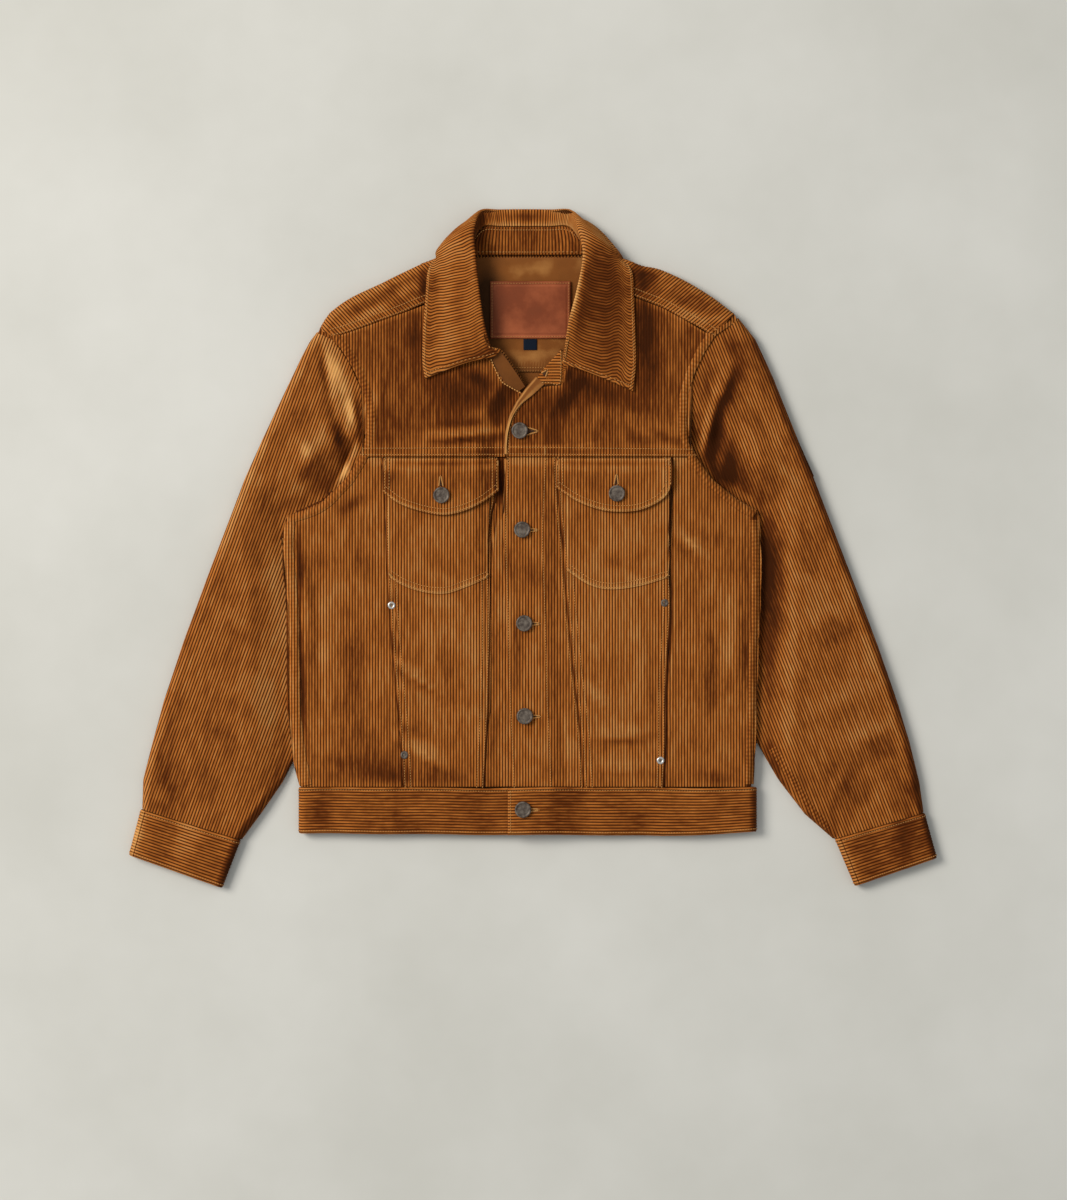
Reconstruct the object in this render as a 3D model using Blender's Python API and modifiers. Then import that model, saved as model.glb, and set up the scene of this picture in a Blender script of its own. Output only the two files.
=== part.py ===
"""Corduroy trucker jacket laid flat, front up: every cut and sewn piece is a closed wall of cloth.

Tables and sizes are in millimetres: +X to the right, +Y towards the collar, +Z up from the floor.
Left and right are as seen from above.
"""
import math

import bmesh
import bpy
import numpy as np

MM = 0.001
CLOTH = 2.0          # corduroy
TWILL = 1.2          # plain lining cloth
COLLAR = 3.3         # double cloth of the fall
STAND = 2.6          # double cloth of the stand
BAND = 4.0           # double cloth of the waistband
CUFF = 3.5           # double cloth of the cuffs
FLAP = 2.8           # double cloth of the pocket flaps
SEAM = 0.25          # half of the gap along a seam
LAP = 0.45           # clear height between cloth lying on cloth
FRONT = 15.0         # top of the fronts above the floor
SLEEVE = 14.5        # top of the sleeves
OVER_SLEEVE = 7.0    # underside of the back where it lies on a sleeve
UNDER_COLLAR = 4.3   # underside of the back yoke where it lies on the fall of the collar
ROLL = 8.0           # width of the rolled edges
BUTTON_R, RIVET_R = 9.3, 5.0
HEM_Y, YOKE_Y, BACK_YOKE_Y = -262.6, 100.2, 205.8

# Outer edge of the fronts from the shoulder end down to the hem:
# roll is how far the edge turns down, sleeve the height of the sleeve beside it.
# x, y, roll, sleeve
BODY_LEFT = [
    (-221.1, 231.7, 0, 14), (-202.4, 204.7, 0, 14), (-189.2, 176.1, 0, 13.5), (-183.7, 149.7, 0, 12),
    (-183.7, 128.8, 0.35, 9), (-188.1, 110.1, 1, 5.8), (-192.5, 99.1, 1, 5.8), (-204.6, 79.3, 1, 5.8),
    (-217.8, 65, 1, 5.8), (-232.1, 50.7, 1, 5.8), (-253, 40.8, 1, 5.8), (-270.6, 35.3, 1, 5.8),
    (-276.1, 1.2, 1, 5.8), (-269.5, -57.1, 1, 5.8), (-268.4, -102.2, 1, 5.8), (-268.4, -175.9, 1, 5.8),
    (-266.2, -219.9, 1, 5.8), (-257.4, -262.6, 1, 5.8),
]
BODY_RIGHT = [
    (198, 232.2, 0, 14), (183.7, 206.9, 0, 14), (171.6, 172.8, 0, 13.5), (169.4, 147.5, 0, 12),
    (170.5, 127.7, 0.35, 9), (174.9, 112.3, 1, 5.8), (181.5, 99.1, 1, 5.8), (199.1, 74.9, 1, 5.8),
    (224.4, 55.1, 1, 5.8), (246.4, 41.9, 1, 5.8), (249.7, -13.1, 1, 5.8), (248.6, -68.1, 1, 5.8),
    (246.4, -114.3, 1, 5.8), (244.2, -195.7, 1, 5.8), (240.9, -262.6, 1, 5.8),
]
# Sleeves, cuff to shoulder: outer fold, end or inner edge of the upper sleeve, and of the under sleeve.
# outer x, y, upper x, y, under x, y
SLEEVE_LEFT = [
    (-431.2, -287.3, -321.2, -321.4, -321.2, -321.4), (-430.1, -255.1, -297.6, -289.2, -297.6, -289.2),
    (-421.3, -219.9, -275, -256.2, -275, -256.2), (-407, -167.1, -253, -212.2, -253, -212.2),
    (-385, -101.1, -229.9, -142.9, -229.9, -142.9), (-360.8, -35.1, -206.8, -70.3, -206.8, -70.3),
    (-338.8, 22.1, -180.4, 3.4, -180.4, 3.4), (-317.9, 77.1, -176, 52.9, -168.3, 52.9),
    (-298.1, 121.1, -180.4, 94.7, -167.2, 91.4), (-279.4, 160.7, -183.7, 128.8, -167.2, 122.2),
    (-266.2, 188.2, -183.7, 149.7, -168.3, 144.2), (-255.2, 211.3, -189.2, 176.1, -173.8, 176.1),
    (-246.4, 227.8, -202.4, 204.7, -185.9, 205.8), (-238.2, 238.8, -220, 230, -222.2, 230),
]
SLEEVE_RIGHT = [
    (431.2, -291.2, 331.1, -320.4, 331.1, -320.4), (426.3, -257.3, 300.3, -293.6, 300.3, -293.6),
    (415.8, -214.4, 270.6, -255.1, 270.6, -255.1), (401.5, -167.1, 246.4, -213.3, 246.4, -213.3),
    (378.4, -101.1, 225.5, -145.1, 225.5, -145.1), (353.1, -35.1, 201.3, -72.5, 201.3, -72.5),
    (331.1, 22.1, 174.9, 0.1, 174.9, 0.1), (310.2, 77.1, 168.3, 50.7, 161.7, 50.7),
    (291.5, 121.1, 168.3, 94.7, 157.3, 91.4), (276.1, 160.7, 170.5, 127.7, 155.1, 122.2),
    (265.1, 188.2, 169.4, 147.5, 154, 144.2), (255.2, 210.2, 171.6, 172.8, 158.4, 176.1),
    (245.3, 230.6, 183.7, 206.9, 171.6, 205.8), (226.6, 254.2, 199.1, 232.2, 207.9, 238.8),
]
# Seams of the fronts from the hem to the yoke: the y of each row and the x of each line.
# y, pocket seam left, inner seam left, front edge, inner seam right, pocket seam right
FRONT_SEAMS = [
    (-262.6, -143, -52.8, -24.2, 56.1, 144.1),
    (-216.6, -145.2, -50.6, -25.9, 53.4, 146.3),
    (-175.9, -148.5, -48.4, -28.1, 49.5, 146.3),
    (-135.2, -152.4, -47.3, -29.2, 44.6, 147.4),
    (-94.5, -155.7, -46.2, -30.3, 40.7, 150.2),
    (-63.7, -157.9, -46.8, -31, 37.4, 151.8),
    (-25.2, -160.6, -47.3, -32.5, 34.7, 151.2),
    (11.1, -162.2, -46.8, -33.6, 32.5, 150.7),
    (34.2, -162.2, -45.1, -33, 29.7, 150.7),
    (58.4, -162.2, -40.7, -31.9, 28.1, 151.2),
    (99.1, -166.7, -39.6, -30, 26.4, 152.4),
]
# Neck end of the right front edge above the yoke seam, where its facing turns out.
# x, y, width of the facing that shows
TURNED_EDGE = [
    (-30, 100.2, 1), (-30.3, 113.4, 1.5), (-29.7, 128.8, 2), (-25.3, 145.3, 4), (-16.5, 161.8, 7),
    (-4.4, 176.1, 10), (6.6, 186.6, 11),
]
# Collar and stand, from the left front over the back neck to the right front.
# neck x, y, z, stand top x, y, z
STAND_LINES = [
    (-15.4, 172.3, 9.6, -6.6, 179.4, 8), (-29.7, 183.8, 12.6, -16.5, 198.1, 12),
    (-44.6, 209.1, 14, -33, 219, 17.4),
    (-53.9, 217.9, 14, -53.4, 225.6, 18), (-75.9, 245.4, 14, -61.1, 252, 18),
    (-96.8, 280.6, 14, -66, 283.9, 18), (-99, 308.1, 11, -69.9, 321.3, 17.5),
    (-89.1, 321.3, 8.5, -62.7, 338.9, 12), (-62.7, 321.3, 7.8, -52.8, 353.8, 8),
    (-35.2, 321.3, 7, -34.1, 354.3, 7.4), (-9.9, 321.3, 7, -9.9, 354.3, 7.4), (17.6, 321.3, 7, 17.6, 354.3, 7.4),
    (48.4, 321.3, 7.8, 37.4, 353.8, 8), (83.6, 321.3, 8.5, 48.4, 338.9, 12),
    (94.6, 308.1, 11, 61.1, 319.1, 17.5), (88, 279.5, 14, 55, 281.7, 18),
    (66, 242.1, 14, 46.2, 248.7, 18), (48.4, 204.7, 14, 40.7, 222.3, 18),
    (36.3, 180.5, 15, 36.3, 213.5, 17),
    (25.3, 179.2, 15.5, 24.8, 208, 17), (16, 179.2, 16, 11, 194.3, 17),
]
# The fall starts on the stand's top at its third row and ends at its third last.
# roll x, y, z, middle x, y, z, turn x, y, z, edge x, y, z
FALL_LINES = [
    (-42.4, 209.7, 23, -71.5, 205.3, 23, -101.2, 192.6, 20.6, -118.8, 185.5, 19.6),
    (-47.9, 222.3, 26, -75.9, 215.7, 24.5, -103.4, 209.1, 20.8, -121.6, 206.9, 19.4),
    (-54.5, 250.9, 29, -79.2, 245.4, 25.5, -103.4, 238.8, 20.8, -121, 238.8, 19.4),
    (-58.9, 283.9, 31, -81.4, 280.6, 26.5, -102.3, 277.3, 20.8, -118.3, 276.2, 19.4),
    (-62.7, 322.4, 30, -82.5, 321.3, 27, -101.2, 314.7, 21, -113.9, 309.2, 18.8),
    (-64.4, 351, 24, -86.9, 341.1, 24, -106.2, 328.5, 8.5, -95.7, 322.4, 0),
    (-57.2, 371.9, 9, -68.2, 364.2, 9, -77.6, 352.1, 4, -73.7, 312.5, 0),
    (-36.3, 373.3, 3.8, -36.9, 368.6, 0.3, -37.4, 352.1, 0, -38, 309.2, 0),
    (-9.9, 373.6, 3.7, -9.9, 368.8, 0.3, -9.9, 352.1, 0, -9.9, 308.1, 0),
    (18.7, 373.3, 3.8, 19.2, 368.6, 0.3, 19.8, 352.1, 0, 20.9, 309.2, 0),
    (41.8, 371.9, 9, 51.7, 364.2, 9, 63.8, 354.3, 4, 58.3, 312.5, 0),
    (50.6, 351, 24, 72.6, 340, 24, 97.4, 323.5, 8.5, 86.9, 321.3, 0),
    (54.5, 319.1, 30, 74.8, 318, 27, 93.5, 312.5, 21, 107.8, 307, 18.8),
    (47.9, 281.7, 31, 70.4, 279.5, 26.5, 94.6, 275.1, 20.8, 111.1, 272.9, 19.4),
    (39.6, 248.7, 29, 64.9, 244.3, 25.5, 94.6, 238.8, 20.8, 112.8, 237.7, 19.4),
    (35.8, 221.2, 26, 60.5, 213.5, 24.5, 94.6, 206.9, 20.8, 113.3, 203.6, 19.4),
    (33.6, 202.5, 23, 60.5, 193.2, 23, 91.3, 180.5, 20.6, 110, 171.9, 19.6),
]
# Shoulders of the back yoke, from the sleeve end to the neck.
# back seam x, y, fold x, y, front seam x, y
SHOULDER_LEFT = [
    (-184.8, 205.8, -236.5, 239.9, -220, 232.2), (-163.9, 205.8, -223.3, 259.7, -201.3, 237.7),
    (-144.1, 205.8, -200.2, 276.2, -177.1, 246.5), (-124.3, 205.8, -165, 292.7, -146.3, 257.5),
    (-112.2, 205.8, -127.6, 311.4, -125.4, 266.3), (-104.5, 205.8, -115, 316.4, -106.7, 272.9),
]
SHOULDER_RIGHT = [
    (100.1, 205.8, 108.9, 314.7, 97.9, 281.7), (107.8, 205.8, 119.9, 311.4, 117.7, 274),
    (119.9, 205.8, 139.7, 307, 143, 264.1), (137.5, 205.8, 167.2, 294.9, 167.2, 250.9),
    (155.1, 205.8, 198, 276.2, 183.7, 242.1), (170.5, 205.8, 225.5, 255.3, 196.9, 233.3),
]
FLAP_LEFT = [(-165, 60.6, 0), (-143, 46.3, 0), (-106.7, 36.4, 0), (-82.5, 38.1, 0), (-57.2, 48.5, 0),
             (-37.4, 62.8, 0)]
FLAP_RIGHT = [(25.3, 65.6, 0), (48.4, 50.7, 0), (72.1, 41.9, 0), (100.7, 39.7, 0), (132, 48.5, 0),
              (150.7, 60.6, 0)]
POCKET_LEFT = [(-159, -31.8, 0), (-143, -41.7, 0), (-118.8, -49.4, 0), (-94.6, -50.5, 0), (-71.5, -42.8, 0),
               (-49, -33.4, 0)]
POCKET_RIGHT = [(36.9, -25.2, 0), (60.5, -40.6, 0), (83.6, -46.1, 0), (115, -42.8, 0), (149.6, -32.9, 0)]
# name, x, y, what it sits on
BUTTONS = [
    ("button_1", -14.6, 128.9, "front"), ("button_2", -11.9, 20.2, "front"),
    ("button_3", -9.6, -82.7, "front"), ("button_4", -9, -184.6, "front"),
    ("button_5", -11, -287.1, "band"), ("flap_button_left", -100.4, 57.9, "flap"),
    ("flap_button_right", 91.9, 59.8, "flap"),
]
RIVETS = [
    ("rivet_left_upper", -155.4, -62.9, "nickel"), ("rivet_left_lower", -141.2, -227.3, "dark_metal"),
    ("rivet_right_upper", 144.7, -60.3, "dark_metal"), ("rivet_right_lower", 140.1, -233.4, "nickel"),
]

for old in list(bpy.data.objects):
    bpy.data.objects.remove(old, do_unlink=True)
jacket = bpy.data.collections.new("corduroy_jacket")
bpy.context.scene.collection.children.link(jacket)


def material(name, colour, roughness, metallic=0.0):
    mat = bpy.data.materials.new(name)
    mat.use_nodes = True
    shader = mat.node_tree.nodes["Principled BSDF"]
    shader.inputs["Base Color"].default_value = (*colour, 1)
    shader.inputs["Roughness"].default_value = roughness
    shader.inputs["Metallic"].default_value = metallic
    return mat


CORDUROY = material("corduroy", (0.27, 0.10, 0.018), 0.9)
LINING = material("lining_twill", (0.26, 0.12, 0.03), 0.85)
LEATHER = material("leather", (0.26, 0.07, 0.03), 0.5)
NAVY = material("navy_tape", (0.01, 0.02, 0.06), 0.8)
GUNMETAL = material("gunmetal", (0.09, 0.075, 0.065), 0.45, 0.9)
METALS = {"nickel": material("nickel", (0.55, 0.5, 0.44), 0.35, 1.0),
          "dark_metal": material("dark_metal", (0.08, 0.06, 0.05), 0.45, 0.9)}


# ---------------------------------------------------------------- curves and heights
def column(rows, *names):
    return np.array(rows, float)[:, list(names)]


def spline(points, t):
    """Catmull-Rom curve through the rows; t runs from 0 to the number of rows less one."""
    p = np.asarray(points, float)
    i = min(max(int(math.floor(t)), 0), len(p) - 2)
    f = t - i
    a, b = p[i], p[i + 1]
    ta = (b - p[i - 1]) / 2 if i else b - a
    tb = (p[i + 2] - a) / 2 if i + 2 < len(p) else b - a
    return (a * (2 * f**3 - 3 * f**2 + 1) + ta * (f**3 - 2 * f**2 + f)
            + b * (3 * f**2 - 2 * f**3) + tb * (f**3 - f**2))


def straight(points, t):
    """Straight from row to row of a table."""
    p = np.asarray(points, float)
    i = min(max(int(math.floor(t)), 0), len(p) - 2)
    return p[i] + (p[i + 1] - p[i]) * (t - i)


def smooth(x, low, high):
    t = min(max((x - low) / (high - low), 0.0), 1.0)
    return t * t * (3 - 2 * t)


def rounded(d, width):
    """Share of the full height at a distance d in from a rolled edge."""
    return math.sqrt(max(0.0, 1 - (1 - min(max(d, 0.0) / width, 1.0)) ** 2))


def nearest(rows, x, y):
    """Distance from a point to a line of rows, and the rest of the row values there."""
    p = np.asarray(rows, float)
    a, b = p[:-1, :2], p[1:, :2]
    ab = b - a
    t = np.clip(((np.array([x, y]) - a) * ab).sum(1) / (ab**2).sum(1), 0, 1)
    gap = np.hypot(*(a + ab * t[:, None] - [x, y]).T)
    i = int(gap.argmin())
    return gap[i], p[i, 2:] + (p[i + 1, 2:] - p[i, 2:]) * t[i]


def inside(rows, x, y):
    """True where a point lies on the body side of an outer edge."""
    p = np.asarray(rows, float)
    order = p[:, 1].argsort()
    edge = np.interp(y, p[order, 1], p[order, 0])
    return x > edge if p[:, 0].mean() < 0 else x < edge


def front_line(n, y):
    """x of seam n of FRONT_SEAMS at y."""
    seams = np.array(FRONT_SEAMS)
    return float(np.interp(y, seams[:, 0], seams[:, n]))


def front_edge(y):
    """x of the right front's edge, up to the neck."""
    if y < YOKE_Y:
        return front_line(3, y)
    turned = np.array(TURNED_EDGE)
    return float(np.interp(y, turned[:, 1], turned[:, 0]))


def back_under(x, y):
    """Underside of the back: on the floor, raised over the sleeves and over the collar's fall."""
    sleeve = SLEEVE_LEFT if x < 0 else SLEEVE_RIGHT
    hidden = np.array(sleeve)[2:10, 4:6]
    edge = float(np.interp(y, hidden[:, 1], hidden[:, 0]))
    inward = (x - edge) if x < 0 else (edge - x)
    over = (1 - smooth(inward, 14, 42)) * (1 - smooth(y, 111.2, 146.4))
    collar = smooth(y, 234.4, 303.7) * smooth(-abs(x + 8), -190, -100)
    return OVER_SLEEVE * over + UNDER_COLLAR * collar


def front_top(x, y, side):
    """Top of the fronts; the left one passes under the right one at the front edge."""
    rows = BODY_LEFT if x < 0 else BODY_RIGHT
    d, (roll, _) = nearest(rows, x, y)
    cover = front_edge(y)
    z = FRONT
    z -= 4.0 * smooth(x, cover - 34, cover - 8) if side < 0 else 0
    z += 1.5 * (1 - smooth(x, cover + 40, cover + 62)) if side > 0 else 0
    low = back_under(x, y) + CLOTH + 0.9
    return z - roll * (z - low) * (1 - rounded(d, ROLL))


def sleeve_top(x, y):
    """Top of a sleeve: full along the arm, low beside and beneath the body."""
    rows = BODY_LEFT if x < 0 else BODY_RIGHT
    sleeve = np.array(SLEEVE_LEFT if x < 0 else SLEEVE_RIGHT)
    d, (_, low) = nearest(rows, x, y)
    d = 0.0 if inside(rows, x, y) else d
    top = low + (SLEEVE - low) * smooth(d, 13 * (low < 9), 46)
    top -= 2.0 * smooth(y, -211.1, -293.6)
    outer, _ = nearest(sleeve[:, 0:2], x, y)
    inner, _ = nearest(sleeve[:8, 2:4], x, y)
    edge = 3.0
    for d in (outer, inner):
        top = edge + (top - edge) * rounded(d, min(9.0, 0.9 * (top - edge) + 0.1))
    return top


# ---------------------------------------------------------------- walls of cloth
def wall(name, bm, thickness, mat, smooth_shade=True):
    """Links a mesh as one object whose cloth grows inwards from the faces."""
    mesh = bpy.data.meshes.new(name)
    bm.to_mesh(mesh)
    bm.free()
    mesh.materials.append(mat)
    obj = bpy.data.objects.new(name, mesh)
    jacket.objects.link(obj)
    if smooth_shade:
        mesh.shade_smooth()
    if thickness:
        solidify = obj.modifiers.new("cloth", "SOLIDIFY")
        solidify.thickness = thickness * MM
        solidify.offset = -1
    return obj


def grid(us, vs, place, flip=False):
    """A grid with its columns at us and rows at vs, each point put where place(u, v) says, in mm."""
    bm = bmesh.new()
    bmesh.ops.create_grid(bm, x_segments=len(us) - 1, y_segments=len(vs) - 1, size=1)
    for vert in bm.verts:
        i = round((vert.co.x + 1) / 2 * (len(us) - 1))
        j = round((vert.co.y + 1) / 2 * (len(vs) - 1))
        vert.co = [c * MM for c in place(us[i], vs[j])]
    if flip:
        bmesh.ops.reverse_faces(bm, faces=bm.faces)
    return bm


def spread(a, b, count):
    return [a + (b - a) * k / count for k in range(count + 1)]


def rolled(width, length, count, both=False):
    """Shares of a row, closer together at a rolled edge at its start, and at its end too."""
    start = [ROLL * (1 - math.cos(math.radians(a))) / length for a in (0, 33, 62, 90)]
    if both:
        return start[:-1] + spread(start[-1], 1 - start[-1], count) + [1 - s for s in start[-2::-1]]
    return start[:-1] + spread(start[-1], 1, count)


def between(lefts, rights, u, v, curve=spline):
    a, b = curve(lefts, v), curve(rights, v)
    return a + (b - a) * u


def panel(name, lefts, rights, us, vs, height, thickness=CLOTH, mat=None, under=False, inset=(1, 1, 1, 1),
          curve=spline):
    """Cloth between two lines of rows, lying at height(x, y), with its seam gaps."""
    low, high = min(vs), max(vs)

    def place(u, v):
        x, y = between(lefts, rights, u, v, curve)
        z = height(x, y)
        x += SEAM * (inset[0] * (u == min(us)) - inset[1] * (u == max(us)))
        y += SEAM * (inset[2] * (v == low) - inset[3] * (v == high))
        return x, y, z

    return wall(name, grid(us, vs, place, flip=under), thickness, mat or CORDUROY)


# ---------------------------------------------------------------- fronts
ROWS = spread(0, len(FRONT_SEAMS) - 1, 18)
seam_rows = [(s[0], *s[1:]) for s in FRONT_SEAMS]


def seam_points(n):
    return [(row[n], row[0]) for row in FRONT_SEAMS]


# Side panels: the outer line climbs the side edge, then the lower armhole.
# x, y, one row for each row of FRONT_SEAMS
side_left = [(-257.4, -262.6), (-266.8, -216.6), (-268.4, -175.9), (-268.4, -135.2), (-268.4, -94.5), (-269.5, -63.7),
             (-273.9, -25.2), (-275.6, 11.1), (-270.6, 35.3), (-235.4, 48.5), (-192.5, 99.1)]
side_right = [(240.9, -262.6), (243.7, -216.6), (244.8, -175.9), (245.9, -135.2), (247, -94.5), (248.6, -63.7),
              (249.7, -25.2), (248.6, 11.1), (246.4, 41.9), (214.5, 61.7), (181.5, 99.1)]
for tag, side, outer, inner in (("left", -1, side_left, 1), ("right", 1, side_right, 5)):
    seam = seam_points(inner)
    ends = (outer, seam) if side < 0 else (seam, outer)
    us = rolled(ROLL, 105, 4)
    us = us if side < 0 else [1 - u for u in reversed(us)]
    panel(f"side_panel_{tag}", *ends, us, ROWS, lambda x, y, s=side: front_top(x, y, s))
    a, b = (1, 2) if side < 0 else (4, 5)
    panel(f"pocket_panel_{tag}", seam_points(a), seam_points(b), spread(0, 1, 5), ROWS,
          lambda x, y, s=side: front_top(x, y, s))

stand_edge = [(x + 50, y) for x, y in seam_points(3)]
panel("center_panel_left", seam_points(2), stand_edge, spread(0, 1, 4), ROWS,
      lambda x, y: front_top(x, y, -1))
panel("center_panel_right", seam_points(3), seam_points(4), spread(0, 1, 4), ROWS,
      lambda x, y: front_top(x, y, 1))

# Front yokes, from the seam across the chest up to the shoulder seam.
# armhole x, y, front edge and neck x, y
YOKE_LEFT = [
    (-192.5, 100.2, 20.9, 100.2), (-187.6, 112.3, 20.9, 132.1), (-183.7, 128.8, 19.8, 158.5),
    (-183.7, 149.7, -11.6, 170.2), (-185.4, 162.9, -29.7, 183.2), (-189.2, 176.1, -40.7, 198.1),
    (-194.7, 190.4, -54.5, 217.3), (-202.4, 204.7, -72.6, 242.1), (-211.2, 219, -92.4, 261.9),
    (-220.6, 231.1, -103.4, 272.9),
]
YOKE_RIGHT = [
    (-29.2, 100.2, 181.5, 100.2), (-28.3, 123.3, 174.9, 112.3), (-23.1, 144.2, 170.5, 127.7),
    (-14.3, 160.7, 169.4, 147.5), (-2.8, 174.5, 170, 160.7), (15.4, 177.9, 171.6, 172.8),
    (37.4, 176.1, 176, 189.3), (51.7, 201.4, 183.7, 206.9), (67.1, 241, 191.4, 220.1),
    (94.6, 282.3, 198, 232.2),
]
panel("front_yoke_left", column(YOKE_LEFT, 0, 1), column(YOKE_LEFT, 2, 3), spread(0, 1, 10),
      spread(0, 9, 11), lambda x, y: front_top(x, y, -1), curve=straight, inset=(1.6, 2, 1, 2))
panel("front_yoke_right", column(YOKE_RIGHT, 0, 1), column(YOKE_RIGHT, 2, 3), spread(0, 1, 10),
      spread(0, 9, 11), lambda x, y: front_top(x, y, 1), curve=straight, inset=(1, 1.6, 1, 2))


def turned_facing(u, v):
    """Facing of the right front edge: it shows on top, goes round the edge and on beneath."""
    x, y, width = spline(TURNED_EDGE, u)
    ahead = spline(TURNED_EDGE, min(u + 0.05, 6))[:2] - spline(TURNED_EDGE, max(u - 0.05, 0))[:2]
    ahead /= np.hypot(*ahead)
    across = np.array([ahead[1], -ahead[0]])
    top = front_top(x + 6, y, 1) + LAP + TWILL
    # distance in from the edge, height
    section = [(width + 1, top), (max(width / 2, 0.7), top), (-0.9, top - 1), (-1.8, top - 2.6),
               (-0.9, top - 4.4), (1, top - 5.3), (12, top - 5.4)]
    n, z = straight(section, v)
    x, y = np.array([x, y]) + across * n
    return x, y, z


wall("front_facing_right", grid(spread(0.2, 6, 12), spread(0, 6, 6), turned_facing, flip=True), TWILL, LINING)


# ---------------------------------------------------------------- pockets and flaps
def overlay(name, bottom, top_y, count, rows, lift, thickness, slant=0.0):
    lower = np.array(bottom)[:, :2]
    side = -1 if lower[0, 0] < 0 else 1

    def place(u, v):
        x, y = spline(lower, u * (len(lower) - 1))
        high = top_y
        x += v * slant * (1 - 2 * u) * -1
        y += (high - y) * v
        return x, y, front_top(x, y, side) + lift(y) + thickness

    return wall(name, grid(spread(0, 1, count), spread(0, 1, rows), place), thickness, CORDUROY)


for tag, flap, pocket in (("left", FLAP_LEFT, POCKET_LEFT), ("right", FLAP_RIGHT, POCKET_RIGHT)):
    overlay(f"pocket_{tag}", pocket, 81.5, 6, 6, lambda y: LAP, 1.6, slant=2.0)
    overlay(f"flap_{tag}", flap, 98.6, 8, 3, lambda y: LAP + 2.2 * smooth(y, 95.8, 84.8), FLAP)


# ---------------------------------------------------------------- back
# Back, hem to yoke: x, y of its left and right edges.
BACK = [
    (-257.4, -262.2, 240.9, -262.2), (-262.9, -240.8, 242, -240.8), (-266.2, -216.6, 243.7, -216.6),
    (-268.4, -175.9, 244.8, -175.9), (-268.4, -135.2, 245.9, -135.2), (-268.4, -94.5, 247, -94.5),
    (-269.5, -63.7, 248.6, -63.7), (-273.9, -25.2, 249.7, -25.2), (-275.6, 11.1, 248.6, 11.1),
    (-270.1, 34.2, 245.9, 40.8), (-229.9, 49.6, 213.4, 59.5), (-201.3, 77.1, 188.1, 85.9),
    (-174.9, 96.9, 165, 96.9), (-166.7, 118.9, 154, 118.9), (-167.8, 144.2, 153.5, 144.2),
    (-173.2, 176.1, 157.9, 176.1), (-184.8, 205.3, 170.5, 205.3),
]
back_columns = spread(0, 0.27, 9) + [0.36, 0.45, 0.55, 0.64] + spread(0.73, 1, 9)
panel("back_panel", column(BACK, 0, 1), column(BACK, 2, 3), back_columns, spread(0, 16, 16),
      back_under, under=True, curve=straight, inset=(1, 1, 0, 1))


def yoke_path(shoulder, w, v):
    """Back yoke over a shoulder: v 0 at the back seam, 1 where the fold starts, 6 at the front seam."""
    seam, fold, front = (spline(column(shoulder, *c), w) for c in ((0, 1), (2, 3), (4, 5)))
    low = back_under(*fold)
    radius = (FRONT - low) / 2
    down = (seam - fold) / np.hypot(*(seam - fold))
    up = (front - fold) / np.hypot(*(front - fold))
    if v <= 1:
        x, y = seam + (fold + down * radius - seam) * v
        return x, y, back_under(x, y)
    if v < 5:
        angle = (v - 1) / 4 * math.pi
        way = down if angle < math.pi / 2 else up
        x, y = fold + way * radius * (1 - math.sin(angle))
        return x, y, low + radius * (1 - math.cos(angle))
    x, y = fold + up * radius + (front - fold - up * radius) * (v - 5)
    return x, y, FRONT


neck = (-101.2, 320.7), (96.8, 320.7)
shoulders = bmesh.new()


def yoke_back(u, v):
    """The flat part: two shoulders and the neck between them."""
    if u <= 5:
        point = yoke_path(SHOULDER_LEFT, u, v)
    elif u >= 13:
        point = yoke_path(SHOULDER_RIGHT, u - 13, v)
    else:
        x = neck[0][0] + (neck[1][0] - neck[0][0]) * (u - 5) / 8
        y = BACK_YOKE_Y + (neck[0][1] - BACK_YOKE_Y) * v
        point = (x, y, back_under(x, y))
    return finish(u, v, point)


def finish(u, v, point):
    x, y, z = point
    x += SEAM * 1.6 * ((u == 0) - (u == 18))
    if v == 0:
        y += SEAM
    return x, y, z


rows_up = [0, 0.18, 0.36, 0.52, 0.66, 0.8, 1]
parts = [grid(spread(0, 18, 18), rows_up, yoke_back, flip=True)]
for base, shoulder in ((0, SHOULDER_LEFT), (13, SHOULDER_RIGHT)):
    parts.append(grid(spread(base, base + 5, 5), [1, 1.8, 2.5, 3, 3.5, 4.2, 5, 5.97],
                      lambda u, v, b=base, s=shoulder: finish(u, v, yoke_path(s, u - b, v)), flip=True))
for part in parts:
    piece = bpy.data.meshes.new("yoke_part")
    part.to_mesh(piece)
    part.free()
    shoulders.from_mesh(piece)
    bpy.data.meshes.remove(piece)
bmesh.ops.remove_doubles(shoulders, verts=shoulders.verts, dist=0.00002)
wall("back_yoke", shoulders, CLOTH, CORDUROY)


def facing_top(x, y):
    return back_under(x, y) + CLOTH + 1.4 * LAP + TWILL


# Facing of the yoke: x of each column, y of its neck end.
FACING = [(-161.7, 266.3, 0), (-129.8, 281.7, 0), (-94.6, 303.7, 0), (-84.7, 319.1, 0), (-47.3, 319.9, 0),
          (-1.1, 319.9, 0), (45.1, 319.9, 0), (81.4, 319.1, 0), (91.3, 302.6, 0), (121, 281.7, 0),
          (150.7, 266.3, 0)]
facing_low = [(x, BACK_YOKE_Y + 1) for x, _, _ in FACING]
panel("yoke_facing", facing_low, column(FACING, 0, 1), [0, 0.25, 0.45, 0.6, 0.75, 0.88, 1], spread(0, 10, 10),
      facing_top, TWILL, LINING, curve=straight, inset=(0, 0, 0, 0), under=True)

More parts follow.
